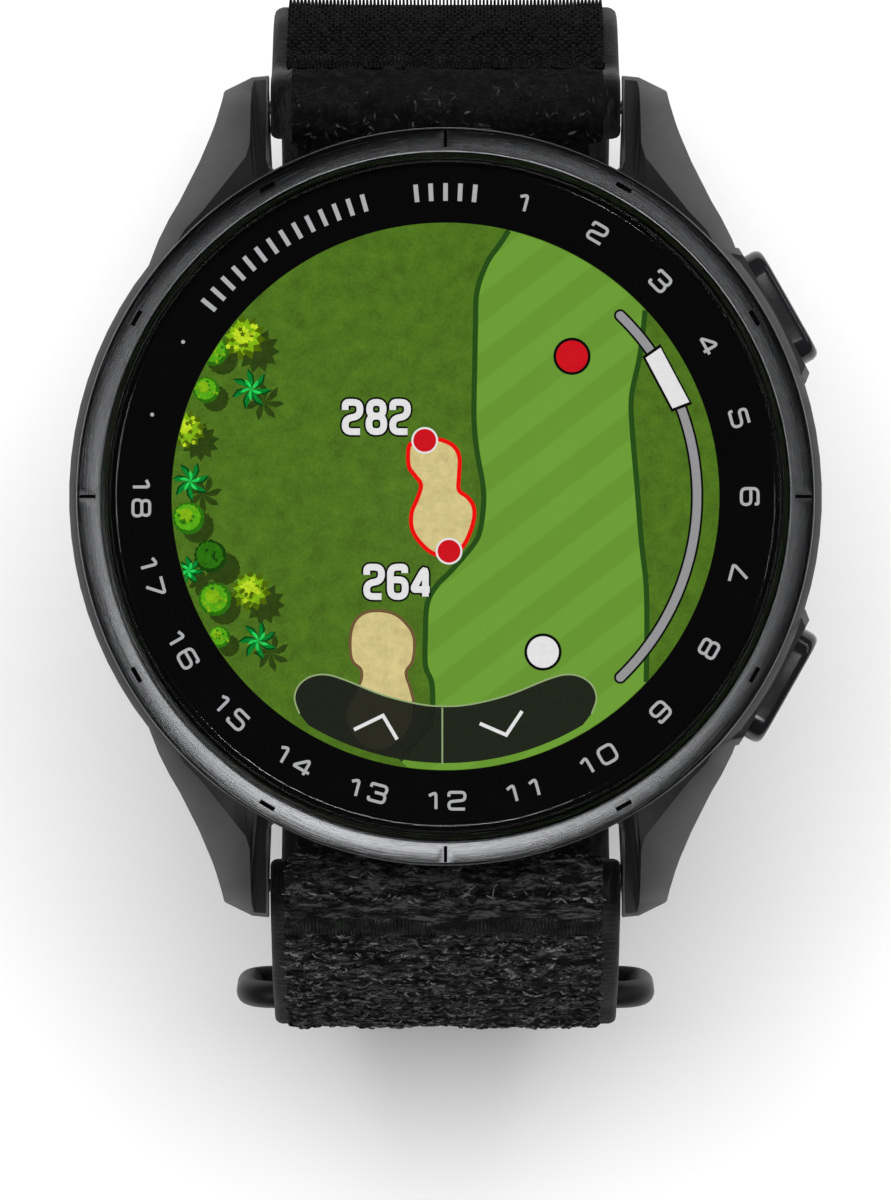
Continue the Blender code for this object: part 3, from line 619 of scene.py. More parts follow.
def cut(thing, solids):
    """Cut solids out of a piece."""
    tool = piece(f"{thing.name}_tool", joined(solids), ["mask"], None)
    modifier = thing.modifiers.new("cut", "BOOLEAN")
    modifier.operation = "DIFFERENCE"
    modifier.object = tool
    modifier.material_mode = "TRANSFER"
    apply_modifiers(thing)
    bpy.data.objects.remove(tool, do_unlink=True)
    thing.data.shade_smooth()
    thing.data.set_sharp_from_angle(angle=math.radians(24))


def box_solid(x_range, y_range, z_range):
    (x0, x1), (y0, y1) = x_range, y_range
    corners = [(x0, y0), (x1, y0), (x1, y1), (x0, y1)]
    return loft([[(x, y, z) for x, y in corners] for z in z_range])


def make_bezel():
    """Turned ring: a slightly conical top, a fine step at its outer edge, a bevel to the lens, hour marks."""
    profile = [
        (BEZEL_RADIUS, 8.35), (BEZEL_RADIUS, 11.18), (20.93, 11.25), (20.87, 11.31), (20.78, 11.335),
        (19.7, 11.49), (19.58, 11.49), (19.5, 11.46), (19.3, 11.3), (19.25, 11.2), (19.25, 9.9), (16.3, 9.9),
        (16.3, 9.1), (19.0, 9.1), (19.0, 8.35),
    ]
    bezel = piece("bezel_turned", turned(profile, 240, closed=True), ["bezel"], "case",
                  ["bezel_ring"], 24.0)
    marks = []
    for hour in range(12):
        quarter = hour % 3 == 0
        along, across, radius = (0.19, 0.92, 20.3) if quarter else (0.96, 0.25, 20.24)
        mark = box_solid((-across / 2, across / 2), (-along / 2, along / 2), (10.95, 12.0))
        turn = Matrix.Rotation(math.radians(30 * hour), 4, "Z")
        marks.append(placed(mark, turn @ Matrix.Translation((radius, 0, 0))))
    cut(bezel, marks)


def make_lens():
    """The lens with rounded edges, flat rings that keep its top smooth, and the black ring under it."""
    profile = [
        (LENS_RADIUS - 0.1, LENS_UNDER), (LENS_RADIUS, LENS_UNDER + 0.1), (LENS_RADIUS, LENS_TOP - 0.4),
        (LENS_RADIUS - 0.04, LENS_TOP - 0.24), (LENS_RADIUS - 0.14, LENS_TOP - 0.1),
        (LENS_RADIUS - 0.28, LENS_TOP - 0.03), (LENS_RADIUS - 0.45, LENS_TOP), (LENS_RADIUS - 0.5, LENS_TOP),
        (LENS_RADIUS - 2.0, LENS_TOP), (0.5 * LENS_RADIUS, LENS_TOP),
    ]
    piece("lens_glass_plate", turned(profile, 240), ["glass"], "case", ["cover_lens"])
    reach = LENS_RADIUS + 0.1
    ring = [(reach, MASK_UNDER), (reach, MASK_TOP), (MAP_RADIUS, MASK_TOP), (MAP_RADIUS, MASK_UNDER)]
    piece("dial_mask", turned(ring, 192, closed=True), ["mask"], "case")


GLYPHS = {
    "0": [([(0, 0), (1, 0), (1, 1), (0, 1)], True)],
    "1": [([(0.18, 0.8), (0.62, 1.0), (0.62, 0.0)], False)],
    "2": [([(0, 0.74), (0, 1), (1, 1), (1, 0.53), (0, 0.44), (0, 0), (1, 0)], False)],
    "3": [([(0, 0.78), (0, 1), (1, 1), (1, 0.52), (0.3, 0.52)], False),
          ([(0.3, 0.52), (1, 0.52), (1, 0), (0, 0), (0, 0.22)], False)],
    "4": [([(0.76, 0), (0.76, 1), (0, 0.32), (0, 0.24), (1.05, 0.24)], False)],
    "5": [([(0.95, 1), (0.04, 1), (0.04, 0.58), (1, 0.58), (1, 0), (0, 0), (0, 0.2)], False)],
    "6": [([(0.97, 0.8), (0.97, 1), (0, 1), (0, 0), (1, 0), (1, 0.57), (0.06, 0.57)], False)],
    "7": [([(0, 1), (1, 1), (1, 0.86), (0.42, 0)], False)],
    "8": [([(0, 0), (1, 0), (1, 0.53), (0, 0.53)], True),
          ([(0.04, 0.53), (0.96, 0.53), (0.96, 1), (0.04, 1)], True)],
    "9": [([(0.03, 0.2), (0.03, 0), (1, 0), (1, 1), (0, 1), (0, 0.43), (0.94, 0.43)], False)],
}


def number(text, height, width, gap, weight, corner):
    """Strokes of a number, centred on the origin: (line, closed) pairs in millimetres."""
    total = len(text) * width + (len(text) - 1) * gap
    strokes = []
    for place, digit in enumerate(text):
        start = place * (width + gap) - total / 2
        for line, closed in GLYPHS[digit]:
            wide, high = width - weight, height - weight
            inner = [(start + weight / 2 + x * wide, y * high - high / 2) for x, y in line]
            strokes.append((filleted(inner, corner, closed), closed))
    return strokes


def turned_strokes(strokes, centre, angle):
    """Turn strokes clockwise by an angle and move them to a centre."""
    turn = Matrix.Rotation(-math.radians(angle), 2)
    return [([turn @ point + centre for point in line], closed) for line, closed in strokes]


def make_dial_print():
    """Numbers 1 to 18 round the lens, two dots and plain dashes where a maker's lettering would be."""
    height, width, weight = 1.12, 1.08, 0.17
    span = (MASK_TOP, MASK_TOP + INK)
    solids = []
    for value in range(1, 19):
        angle = 15.0 * value
        strokes = number(str(value), height, width, 0.22, weight, 0.3)
        tilt = angle if value <= 6 else angle + 180
        for line, closed in turned_strokes(strokes, clock(17.28, angle), tilt):
            solids.append(stroke(line, weight, *span, closed))
    for angle in (285.6, 300.5):
        solids.append(plate(circle(clock(17.3, angle), 0.11, 20), *span))
    for first, last, count in ((309.0, 344.5, 14), (354.5, 365.5, 5)):
        for k in range(count):
            angle = first + (last - first) * k / (count - 1)
            solids.append(stroke([clock(16.8, angle), clock(17.8, angle)], 0.26, *span))
    # The dial print glows as painted light, so that the grey ink reads bright under the lens.
    LOOKS["print"] = glow("dial_print_grey_painted_glow", plain((176, 177, 178)))
    piece("dial_numbers", joined(solids), ["print"], "case", smooth=None)


# ---------------------------------------------------------------- course map

FAIRWAY_LEFT = [
    (3.65, 15.2), (3.09, 14.34), (2.37, 13.3), (1.79, 11.65), (1.71, 9.79), (1.66, 7.32), (1.62, 4.42),
    (1.79, 2.57), (2.12, 0.71), (2.16, -0.53), (1.95, -1.98), (1.54, -2.8), (0.3, -4.25), (-0.52, -5.08),
    (-1.04, -6.11), (-1.14, -7.76), (-1.14, -9.62), (-0.77, -10.65), (-0.77, -12.51), (-1.14, -13.34),
    (-2.59, -15.0),
]
FAIRWAY_RIGHT = [
    (11.35, 10.58), (11.2, 9.17), (11.0, 7.73), (10.57, 5.66), (10.63, 3.6), (10.88, 0.71), (11.14, -2.6),
    (11.41, -5.08), (11.45, -7.97), (11.41, -10.55),
]
BUNKER = [
    (-2.09, 2.77), (-2.09, 1.74), (-1.76, 1.22), (-1.39, 0.67), (-1.6, -0.12), (-1.93, -0.95), (-1.89, -1.87),
    (-1.45, -2.6), (-0.73, -3.22), (0.2, -3.38), (0.92, -2.91), (1.34, -2.18), (1.62, -1.25), (1.58, -0.53),
    (1.23, -0.02), (0.76, 0.36), (0.76, 1.12), (0.8, 2.15), (0.55, 2.77), (-0.01, 3.14), (-0.83, 3.29),
    (-1.76, 3.1),
]
LOWER_BUNKER = [
    (-4.31, -6.52), (-5.05, -6.95), (-5.38, -7.76), (-5.4, -8.9), (-5.22, -9.45), (-4.8, -9.85),
    (-4.82, -10.5), (-5.3, -11.4), (-5.72, -12.3), (-5.4, -13.4), (-4.6, -14.3), (-3.6, -14.45),
    (-2.6, -13.9), (-1.9, -12.9), (-1.8, -11.8), (-2.0, -10.9), (-2.25, -10.0), (-1.85, -9.3),
    (-1.8, -8.0), (-2.3, -7.15), (-3.1, -6.6),
]
KEY_BAR_END = [
    (8.3, -12.35), (8.58, -11.5), (8.35, -10.75), (7.7, -10.25), (6.8, -10.12), (5.67, -10.44), (3.6, -11.27),
    (1.54, -11.79), (0.0, -11.92),
]
# Trees at the map's left edge: place, reach and kind
TREES = [
    (-11.45, 9.0, 1.35, "spiky"), (-13.2, 8.3, 0.95, "round"), (-13.6, 6.05, 0.8, "round"),
    (-11.05, 6.1, 1.2, "leafy"), (-14.7, 3.8, 1.15, "spiky"), (-14.5, 0.85, 1.15, "leafy"),
    (-14.6, -1.25, 0.98, "round"), (-13.35, -3.4, 1.0, "shade"), (-14.6, -4.2, 0.85, "leafy"),
    (-13.1, -5.85, 1.02, "round"), (-11.05, -5.4, 1.25, "spiky"), (-12.85, -8.0, 0.66, "round"),
    (-10.65, -8.2, 1.15, "leafy"),
]
TREE_TONES = {
    "shadow": (46, 68, 18), "deep": (24, 66, 12), "mid": (44, 112, 16), "bright": (88, 170, 24),
    "teal_deep": (6, 66, 22), "teal": (8, 128, 44), "teal_bright": (40, 208, 88),
    "lime_deep": (78, 104, 8), "lime": (128, 178, 22), "lime_bright": (190, 220, 40),
}
LAYER_TONES = {
    "spiky": ("lime_deep", "lime", "lime_bright"),
    "round": ("mid", "bright", "lime"),
    "shade": ("deep", "mid", "mid"),
}


def within_map(points, radius=MAP_RADIUS - 0.02):
    """Pull points that lie past the screen's edge back onto it."""
    return [point if point.length <= radius else point.normalized() * radius for point in map(Vector, points)]


def ink(level):
    """Bottom and top of one of the map's stacked plates."""
    return LEVELS[level], LEVELS[level] + INK


def map_piece(name, solids, look, colour_of):
    LOOKS[look] = glow(look, colour_of)
    return piece(name, joined(solids), [look], "case", smooth=None)


def make_ground():
    base = plate(circle((0, 0), MAP_RADIUS + 0.1, 160), 10.06, LEVELS["fairway"])
    map_piece("map_rough", [base], "map_rough_green", mottled((78, 114, 32), 0.14, 0.9, 7.0))
    left = smooth_path(FAIRWAY_LEFT, 4)
    right = smooth_path(FAIRWAY_RIGHT, 4)
    top_arc = [polar(MAP_RADIUS - 0.02, angle) for angle in range(44, 76, 2)]
    low_arc = [polar(MAP_RADIUS - 0.02, angle) for angle in range(262, 318, 2)]
    outline = within_map(left) + low_arc + within_map(right[::-1]) + top_arc
    stripes = mown((114, 164, 58), (103, 150, 50))
    map_piece("map_fairway", [plate(outline, *ink("fairway"))], "map_fairway_green", stripes)
    edges = [stroke(within_map(line), 0.3, *ink("edge")) for line in (left, right)]
    map_piece("map_fairway_edge", edges, "map_edge_green", plain((38, 78, 24)))


def make_bunkers():
    sand = mottled((214, 198, 137), 0.07, 1.6, 3.0)
    upper, lower = smooth_path(BUNKER, 4, True), smooth_path(LOWER_BUNKER, 4, True)
    map_piece("map_bunkers", [plate(line, *ink("sand")) for line in (upper, lower)], "map_sand", sand)
    target = stroke(upper, 0.24, *ink("sand_edge"), True)
    map_piece("map_target_edge", [target], "map_target_red", plain((240, 12, 12)))
    lip = stroke(lower, 0.17, *ink("sand_edge"), True)
    map_piece("map_bunker_edge", [lip], "map_bunker_brown", plain((112, 88, 56)))


def star(centre, reach, points, depth, turn, sway=0.0):
    outline = []
    for k in range(points * 2):
        far = reach * (1 + sway * math.sin(3.1 * k)) if k % 2 == 0 else reach * depth
        outline.append(Vector(centre) + polar(far, turn + 180 * k / points))
    return outline


def leaf(centre, reach, width, angle, bend=18.0):
    """A pointed leaf that leaves the centre at an angle."""
    spine = [Vector(centre) + polar(reach * t, angle + bend * t) for t in (0.0, 0.35, 0.7, 1.0)]
    root, low, high, tip = spine
    side = polar(width, angle + 90)
    return [root, low - side * 0.8, high - side, tip, high + side, low + side * 0.8]


def make_trees():
    """Three kinds of tree in stacked layers that grow lighter upward, each with a cast shadow."""
    draw = random.Random(7)
    layers = {tone: [] for tone in TREE_TONES}

    def add(layer, outline, height):
        layers[layer].append(plate(within_map(outline, MAP_RADIUS - 0.03), height, height + INK))

    for x, y, reach, kind in TREES:
        centre = Vector((x, y))
        fall = centre + Vector((0.75, -0.7)) * (1.0 if kind != "round" else 0.7)
        turn = draw.uniform(0, 90)
        if kind == "leafy":
            for k in range(7):
                add("shadow", leaf(fall, reach * 0.95, 0.2, turn + 51 * k), LEVELS["shadow"])
            for k in range(7):
                add("teal_deep", leaf(centre, reach, 0.2, turn + 51.4 * k), LEVELS["sand"])
                add("teal", leaf(centre, reach * 0.93, 0.13, turn + 51.4 * k + 3), LEVELS["sand"] + 0.025)
            for k in range(5):
                add("teal_bright", leaf(centre, reach * 0.55, 0.1, turn + 25 + 72 * k), LEVELS["halo"])
            continue
        points = 11 if kind == "spiky" else 17
        depth = 0.68 if kind == "spiky" else 0.9
        add("shadow", star(fall, reach, points, depth, turn, 0.06), LEVELS["shadow"])
        low, middle, high = LAYER_TONES[kind]
        for level in range(5):
            size = reach * (1 - 0.19 * level)
            tip = centre + Vector((-0.05, 0.06)) * level
            tone = (low, middle, middle, high, high)[level]
            add(tone, star(tip, size, points, depth, turn + 14 * level, 0.08), LEVELS["sand"] + 0.012 * level)
        for k in range(16 if kind != "shade" else 10):
            spot = centre + polar(reach * draw.uniform(0.1, 0.8), draw.uniform(0, 360))
            tone = high if draw.random() < 0.5 else low
            add(tone, star(spot, reach * 0.13, 5, 0.6, draw.uniform(0, 90)), LEVELS["mark"])
    for tone, solids in layers.items():
        map_piece(f"map_trees_{tone}", solids, f"map_tree_{tone}", mottled(TREE_TONES[tone], 0.14, 3.0, 8.0))


def make_markers():
    """Pins and balls, the two distances, the slider at the right edge and the key arrows."""
    white, black, red = [], [], []
    for centre in ((-1.18, 3.19), (0.2, -3.11)):
        white.append(plate(circle(centre, 0.76), *ink("mark")))
        red.append(plate(circle(centre, 0.65), *ink("mark_top")))
    for centre, colour in (((7.19, 7.97), red), ((5.54, -8.84), white)):
        black.append(plate(circle(centre, 1.06), *ink("halo")))
        colour.append(plate(circle(centre, 0.9), *ink("mark_top")))
    for text, centre in (("282", Vector((-3.93, 4.52))), ("264", Vector((-2.71, -4.85)))):
        strokes = turned_strokes(number(text, 2.05, 1.22, 0.13, 0.38, 0.45), centre, 0)
        for line, closed in strokes:
            black.append(stroke(line, 0.6, *ink("halo"), closed))
            white.append(stroke(line, 0.38, *ink("mark"), closed))
    arc = [polar(14.3, angle / 2) for angle in range(-92, 93)]
    black += rounded_line(arc, 0.72, ink("mark"))
    map_piece("map_slider", rounded_line(arc, 0.48, ink("mark_top")), "map_grey", plain((152, 152, 154)))
    black.append(plate(arc_box(13.72, 14.98, 20.5, 35.4), *ink("thumb_rim")))
    white.append(plate(arc_box(13.84, 14.86, 21.2, 34.7), *ink("thumb")))
    up_arrow = [(-5.2, -13.25), (-3.55, -12.45), (-2.75, -13.8)]
    down_arrow = [(1.95, -12.9), (3.45, -13.55), (4.35, -12.2)]
    white += [stroke(arrow, 0.2, *ink("arrow")) for arrow in (up_arrow, down_arrow)]
    map_piece("map_marks_black", black, "map_black", plain((12, 12, 12)))
    map_piece("map_marks_white", white, "map_white", plain((232, 232, 232)))
    map_piece("map_marks_red", red, "map_red", plain((209, 20, 32)))


def rounded_line(line, width, span):
    """A drawn line with round ends."""
    ends = [plate(circle(end, width / 2), *span) for end in (line[0], line[-1])]
    return [stroke(line, width, *span)] + ends


def arc_box(inner, outer, first, last):
    """Corners of a box between two radii and two angles."""
    return [polar(inner, last), polar(outer, last), polar(outer, first), polar(inner, first)]


def make_key_bar():
    """A dark see-through bar along the screen's foot, with a pale upper outline and a divider."""
    half = 31.0
    foot = [clock(15.15, 180 - half * (1 - k / 20)) for k in range(41)]
    upper = key_bar_top()
    n = Nodes("map_key_bar")
    n.tree.nodes.remove(n.shader)
    see = n.add("ShaderNodeBsdfTransparent", Color=(0.13, 0.13, 0.13, 1.0))
    tint = n.ramp(n.noise(n.place(), 6.0, 2.0), (0.3, linear(27, 29, 24)), (0.7, linear(31, 34, 28)))
    lit = n.add("ShaderNodeEmission", Color=tint, Strength=1.0)
    both = n.add("ShaderNodeAddShader", i0=see.outputs[0], i1=lit.outputs[0])
    n.tree.links.new(both.outputs[0], n.output.inputs["Surface"])
    LOOKS["key_bar"] = n.material
    piece("map_key_bar", plate(foot + upper[::-1], *ink("bar")), ["key_bar"], "case", smooth=None)
    divider = [(-0.18, -12.0), (-0.18, -15.2)]
    edges = [stroke(line, 0.09, *ink("bar_edge")) for line in (upper, divider)]
    map_piece("map_key_bar_edge", edges, "map_key_edge", plain((150, 172, 120)))


def key_bar_top():
    """The bar's upper edge from its right end to its left: two round ends and a shallow sag between."""
    left = [(-x, y) for x, y in KEY_BAR_END[:-1]][::-1]
    return smooth_path(KEY_BAR_END + left, 6)


# ---------------------------------------------------------------- buttons and ring

def stadium(half_length, half_height, steps=16):
    """An outline with straight sides and round ends."""
    straight = half_length - half_height
    outline = []
    for side in (1, -1):
        for k in range(steps + 1):
            turn = math.radians(-90 + 180 * k / steps) + (0 if side > 0 else math.pi)
            outline.append((side * straight + half_height * math.cos(turn), half_height * math.sin(turn)))
    return outline


def make_buttons():
    """Glossy push buttons with a rounded rim and a shallow dished face."""
    steps = [(0.0, CAP_BACK), (0.0, 22.2), (0.03, 22.35), (0.1, 22.5), (0.2, 22.6), (0.34, CAP_FRONT),
             (0.5, 22.63), (0.66, 22.52), (0.85, 22.44), (1.1, 22.4)]
    rings = []
    for inset, reach in steps:
        rings.append([(x, y, reach) for x, y in stadium(CAP_HALF_LENGTH - inset, CAP_HALF_HEIGHT - inset)])
    for name, angle in BUTTON_ANGLES.items():
        cap = placed(loft(rings), radial_frame(angle, BUTTON_HEIGHT))
        body = f"{name}_button"
        piece(f"{body}_gloss", cap, ["button"], body, [f"{body}_cap"], 50.0)


def make_ring(sides=28, corner_steps=14):
    """The bent-wire ring that joins the two straps."""
    near, far = Vector((0.0, *RING_NEAR)), Vector((0.0, *RING_FAR))
    down = (far - near).normalized()
    out = ACROSS.cross(down)
    middle = (near + far) / 2
    half = (far - near).length / 2
    rings = []
    for quarter in range(4):
        sx = 1 if quarter in (0, 3) else -1
        sd = 1 if quarter in (0, 1) else -1
        centre = middle + ACROSS * sx * (RING_HALF_WIDTH - RING_CORNER) + down * sd * (half - RING_CORNER)
        for k in range(corner_steps + 1):
            turn = math.radians(90 * quarter + 90 * k / corner_steps)
            outward = ACROSS * math.cos(turn) + down * math.sin(turn)
            spine = centre + outward * RING_CORNER
            rings.append(hoop(spine, outward, out, RING_WIRE, sides))
    solid = loft(rings, closed=True)
    piece("bent_wire_ring", solid, ["ring"], "strap_ring", ["strap_ring"], 60.0)


# ---------------------------------------------------------------- band

def long_path():
    """Mid-line of the long strap, from the 12 o'clock bar, under the wrist, to the ring, as (y, z)."""
    flat = BAND_BASE + CLOTH / 2 + LAYER_STEP
    path = smooth_path([
        (BAR_Y, BAR_Z), (25.2, -1.6), (27.6, -6.5), (28.5, -12.5), (27.6, -20.5), (24.6, -30.0),
        (19.4, -37.4), (12.0, flat + 0.15), (6.0, flat), (-6.0, flat), (-12.0, flat + 0.15), (-19.4, -37.4),
        (-24.0, -31.2), (-26.6, -24.0), (RING_FAR[0] + TURN_RADIUS, RING_FAR[1]),
    ])
    return [Vector((point.x, max(point.y, flat))) for point in path]


def lefts(path, closed=False):
    """Unit vectors to the left of a path's direction."""
    count = len(path)
    found = []
    for k in range(count):
        before = path[k - 1] if closed or k else path[k]
        after = path[(k + 1) % count] if closed or k < count - 1 else path[k]
        ahead = after - before
        found.append(Vector((-ahead.y, ahead.x)).normalized())
    return found


def resampled(path, step, closed=False):
    """The same path with evenly spaced points."""
    points = path + [path[0]] if closed else path
    lengths = [0.0]
    for a, b in zip(points, points[1:]):
        lengths.append(lengths[-1] + (b - a).length)
    count = max(2, round(lengths[-1] / step))
    even, at = [], 0
    for k in range(count if closed else count + 1):
        want = lengths[-1] * k / count
        while at < len(lengths) - 2 and lengths[at + 1] < want:
            at += 1
        share = (want - lengths[at]) / max(lengths[at + 1] - lengths[at], 1e-9)
        even.append(points[at].lerp(points[at + 1], min(max(share, 0.0), 1.0)))
    return even


def sheet_section(thickness, columns):
    """A cloth sheet's cross-section: (x, height, x normal, height normal, distance from the side)."""
    half = BAND_HALF_WIDTH - thickness / 2
    section = []
    for k in range(columns + 1):
        x = -half + 2 * half * k / columns
        section.append((x, thickness / 2, 0.0, 1.0, BAND_HALF_WIDTH - abs(x)))
    for k in range(1, SHEET_EDGE_STEPS):
        turn = math.pi / 2 - math.pi * k / SHEET_EDGE_STEPS
        nx, nh = math.cos(turn), math.sin(turn)
        section.append((half + thickness / 2 * nx, thickness / 2 * nh, nx, nh, 0.0))
    below = [(-x, -h, -nx, -nh, edge) for x, h, nx, nh, edge in section]
    return section + below


def tuft(x, along, height, streak):
    """Height of the pile at a place on the cloth, 0 to about 1."""
    clump = noise.noise(Vector((x * 1.1 * streak, along * 1.1, height * 0.3)))
    fine = noise.noise(Vector((x * 2.3 * streak, along * 2.3 + 31.0, height)))
    return 0.55 + 0.6 * clump + 0.6 * fine


def cloth_sheet(name, path, body, replaces, finish, thickness=CLOTH - 0.3, step=0.3, nap=0.26, closed=False,
                streak=1.0, smooth_faces=None):
    """A cloth sheet with pile on both faces and smooth selvages, along a path of (y, z) places."""
    path = resampled(path, step, closed)
    section = sheet_section(thickness, round(2 * BAND_HALF_WIDTH / step))
    rings = []
    count = len(path)
    for k, (point, left) in enumerate(zip(path, lefts(path, closed))):
        ring = []
        along = k * step
        taper = 1.0 if closed else min(1.0, 0.35 + 0.65 * min(k, count - 1 - k) / 2)
        for x, height, nx, nh, edge in section:
            pile = ease((edge - SELVAGE) / 0.35)
            bare = smooth_faces(along, height) if smooth_faces else 0.0
            rise = nap * (pile * (1 - bare) * tuft(x, along, height, streak) - 0.35)
            rib = 0.05 * math.cos(math.tau * along / 0.55) * (1 - pile) if edge > 0.05 else 0.0
            lift = height * taper + nh * (rise + rib)
            ring.append((x + nx * rise * 0.3, *(point + left * lift)))
        rings.append(ring)
    in_selvage = [edge < SELVAGE + 0.1 for *_, edge in section]

    def pick(index):
        return 1 if in_selvage[index % len(section)] else 0

    return piece(name, loft(rings, closed), [finish, "selvage"], body, replaces, 70.0, pick)


def add_fibres(strap, name, look, body, count, along_x, seed, keep=None):
    """Short yarn ends that stand out of the pile, so that it looks looped and not smooth."""
    draw = random.Random(seed)
    mesh = strap.data
    pile = [face for face in mesh.polygons if face.material_index == 0 and len(face.vertices) == 4]
    if keep:
        pile = [face for face in pile if keep(face.center / MM)]
    solids = []
    for _ in range(count):
        face = draw.choice(pile)
        spot, normal = face.center / MM, face.normal
        ahead = normal.cross(ACROSS).normalized()
        angle = draw.gauss(0.0, 0.5) if along_x else draw.uniform(-math.pi, math.pi)
        lie = ACROSS * math.cos(angle) + ahead * math.sin(angle)
        side = normal.cross(lie)
        length = draw.uniform(0.35, 0.85)
        arch = draw.uniform(0.04, 0.14)
        wire = draw.uniform(0.04, 0.11)
        spot = spot + ACROSS * draw.uniform(-0.1, 0.1) + ahead * draw.uniform(-0.1, 0.1)
        rings = []
        for share in (-0.5, -0.2, 0.2, 0.5):
            middle = spot + lie * (share * length) + normal * (arch * (1 - 5.0 * share * share))
            rings.append(hoop(middle, side, normal, wire * (1.0 - 0.9 * abs(share)), 3))
        solids.append(loft(rings))
    piece(name, joined(solids), [look], body, smooth=80.0)


def belt_path(middle, reach_near, reach_far, web, length=4.2):
    """A belt round both ends of a mid-line: outer run, far turn, inner run and near turn.

    It stands web off the mid-line, and widens to the reach at each end over the given length.
    """
    sides = lefts(middle)
    total = len(middle) - 1
    span = sum((b - a).length for a, b in zip(middle, middle[1:]))
    runs = ([], [])
    for k, (point, side) in enumerate(zip(middle, sides)):
        at = span * k / total
        by_near, by_far = 1 - ease(at / length), 1 - ease((span - at) / length)
        swell = web + (reach_near - web) * by_near + (reach_far - web) * by_far
        runs[0].append(point - side * swell)
        runs[1].append(point + side * swell)

    def turn_about(centre, start, reach, steps=14):
        first = math.degrees(math.atan2(start.y - centre.y, start.x - centre.x))
        return [centre + polar(reach, first + 180 * k / steps) for k in range(1, steps)]

    far_turn = turn_about(middle[-1], runs[0][-1], reach_far)
    near_turn = turn_about(middle[0], runs[1][0], reach_near)
    return runs[0] + far_turn + runs[1][::-1] + near_turn


def make_short_strap():
    """The 6 o'clock strap, a belt round the bar and the ring's near limb, with a stitched row."""
    start = math.degrees(math.atan2(BAR_Z - SHORT_ARC_CENTRE.y, -BAR_Y - SHORT_ARC_CENTRE.x))
    middle = [SHORT_ARC_CENTRE + polar(SHORT_ARC_RADIUS, start + (180 - start) * k / 40) for k in range(41)]
    path = belt_path(middle, 1.2, 1.36, 0.56)
    strap = cloth_sheet("short_strap_cloth", path, "lower_strap", ["lower_strap"], "streaked",
                        0.84, 0.22, 0.26, closed=True, streak=0.5)
    stitch_row("short_strap_stitches", middle, 1.45, 1.55, "lower_strap")
    add_fibres(strap, "short_strap_flecks", "fleck", "lower_strap", 7000, True, 3, clear_of_stitches)


def stitch_row(name, middle, along, reach, body, length=1.8, pitch=0.215, swell=0.085, margin=1.0):
    """A dense row of satin stitches across the strap's outer face."""
    walked, at = 0.0, 0
    while walked < along:
        walked += (middle[at + 1] - middle[at]).length
        at += 1
    ahead = (middle[at + 1] - middle[at - 1]).normalized()
    side = Vector((ahead.y, -ahead.x))
    solids = []
    columns = int((2 * BAND_HALF_WIDTH - 2 * margin) / pitch)
    for column in range(columns + 1):
        x = -BAND_HALF_WIDTH + margin + column * pitch
        rings = []
        for share in (-0.5, -0.38, -0.15, 0.15, 0.38, 0.5):
            radius = swell * math.sqrt(max(1 - (2 * share) ** 4, 0.05))
            spot = middle[at] + ahead * (share * length) + side * (reach - 0.66 * share ** 2)
            rings.append(hoop(Vector((x, *spot)), ACROSS, Vector((0.0, *side)), radius, 6))
        solids.append(loft(rings))
    piece(name, joined(solids), ["thread"], body, smooth=60.0)


def make_long_strap():
    """The 12 o'clock strap's inner run: rolled round the bar, under the wrist, up and over the ring."""
    inner = long_path()
    turn = [RING_FAR + polar(TURN_RADIUS, 180 * k / 20) for k in range(1, 21)]
    sides = lefts(inner)
    eased = []
    walked = 0.0
    for k, (point, side) in enumerate(zip(inner, sides)):
        if k:
            walked += (point - inner[k - 1]).length
        eased.append(point + side * (ROLL_RADIUS * (1 - ease(walked / 4.5))))
    first = math.degrees(math.atan2(eased[0].y - BAR_Z, eased[0].x - BAR_Y))
    bar = Vector((BAR_Y, BAR_Z))
    roll = [bar + polar(ROLL_RADIUS, first + 200 - 200 * k / 16) for k in range(16)]
    tuck = [inner[k] - sides[k] * (0.6 + 0.8 * (1 - ease(k / 14))) for k in range(25, 0, -1)]
    cloth_sheet("long_strap_inner_turn", tuck + roll[:8], "upper_strap", [], "pile", 0.95, 0.3, 0.2)
    route = roll + eased + turn
    strap = cloth_sheet("long_strap_cloth", route, "upper_strap", ["upper_strap"], "pile", 1.05, 0.26, 0.36,
                        smooth_faces=hook_zone)
    add_fibres(strap, "long_strap_flecks", "fleck_dark", "upper_strap", 5000, False, 5, clear_of_hooks)
    hooks_on_path(route)


def clear_of_stitches(spot):
    """True off the stitched row and the release lever of the short strap, in millimetres."""
    stitched = -25.3 < spot.y < -23.2 and spot.z > 0.0
    by_lever = -8.5 < spot.x < -2.5 and spot.y > -24.6 and spot.z < 2.8
    return not (stitched or by_lever)


def clear_of_hooks(spot):
    """True off the hook field and off the ring's far limb, in millimetres."""
    hooked = spot.y > 23.6 and spot.z > -28.0
    by_ring = (Vector((spot.y, spot.z)) - RING_FAR).length < 3.2
    return not (hooked or by_ring)


def hook_zone(along, height):
    """1 where the hook tape lies on the long strap's outer face, 0 elsewhere."""
    if height < 0:
        return 0.0
    return ease((along - HOOK_START + 0.6) / 0.5) * (1 - ease((along - HOOK_END) / 0.5))


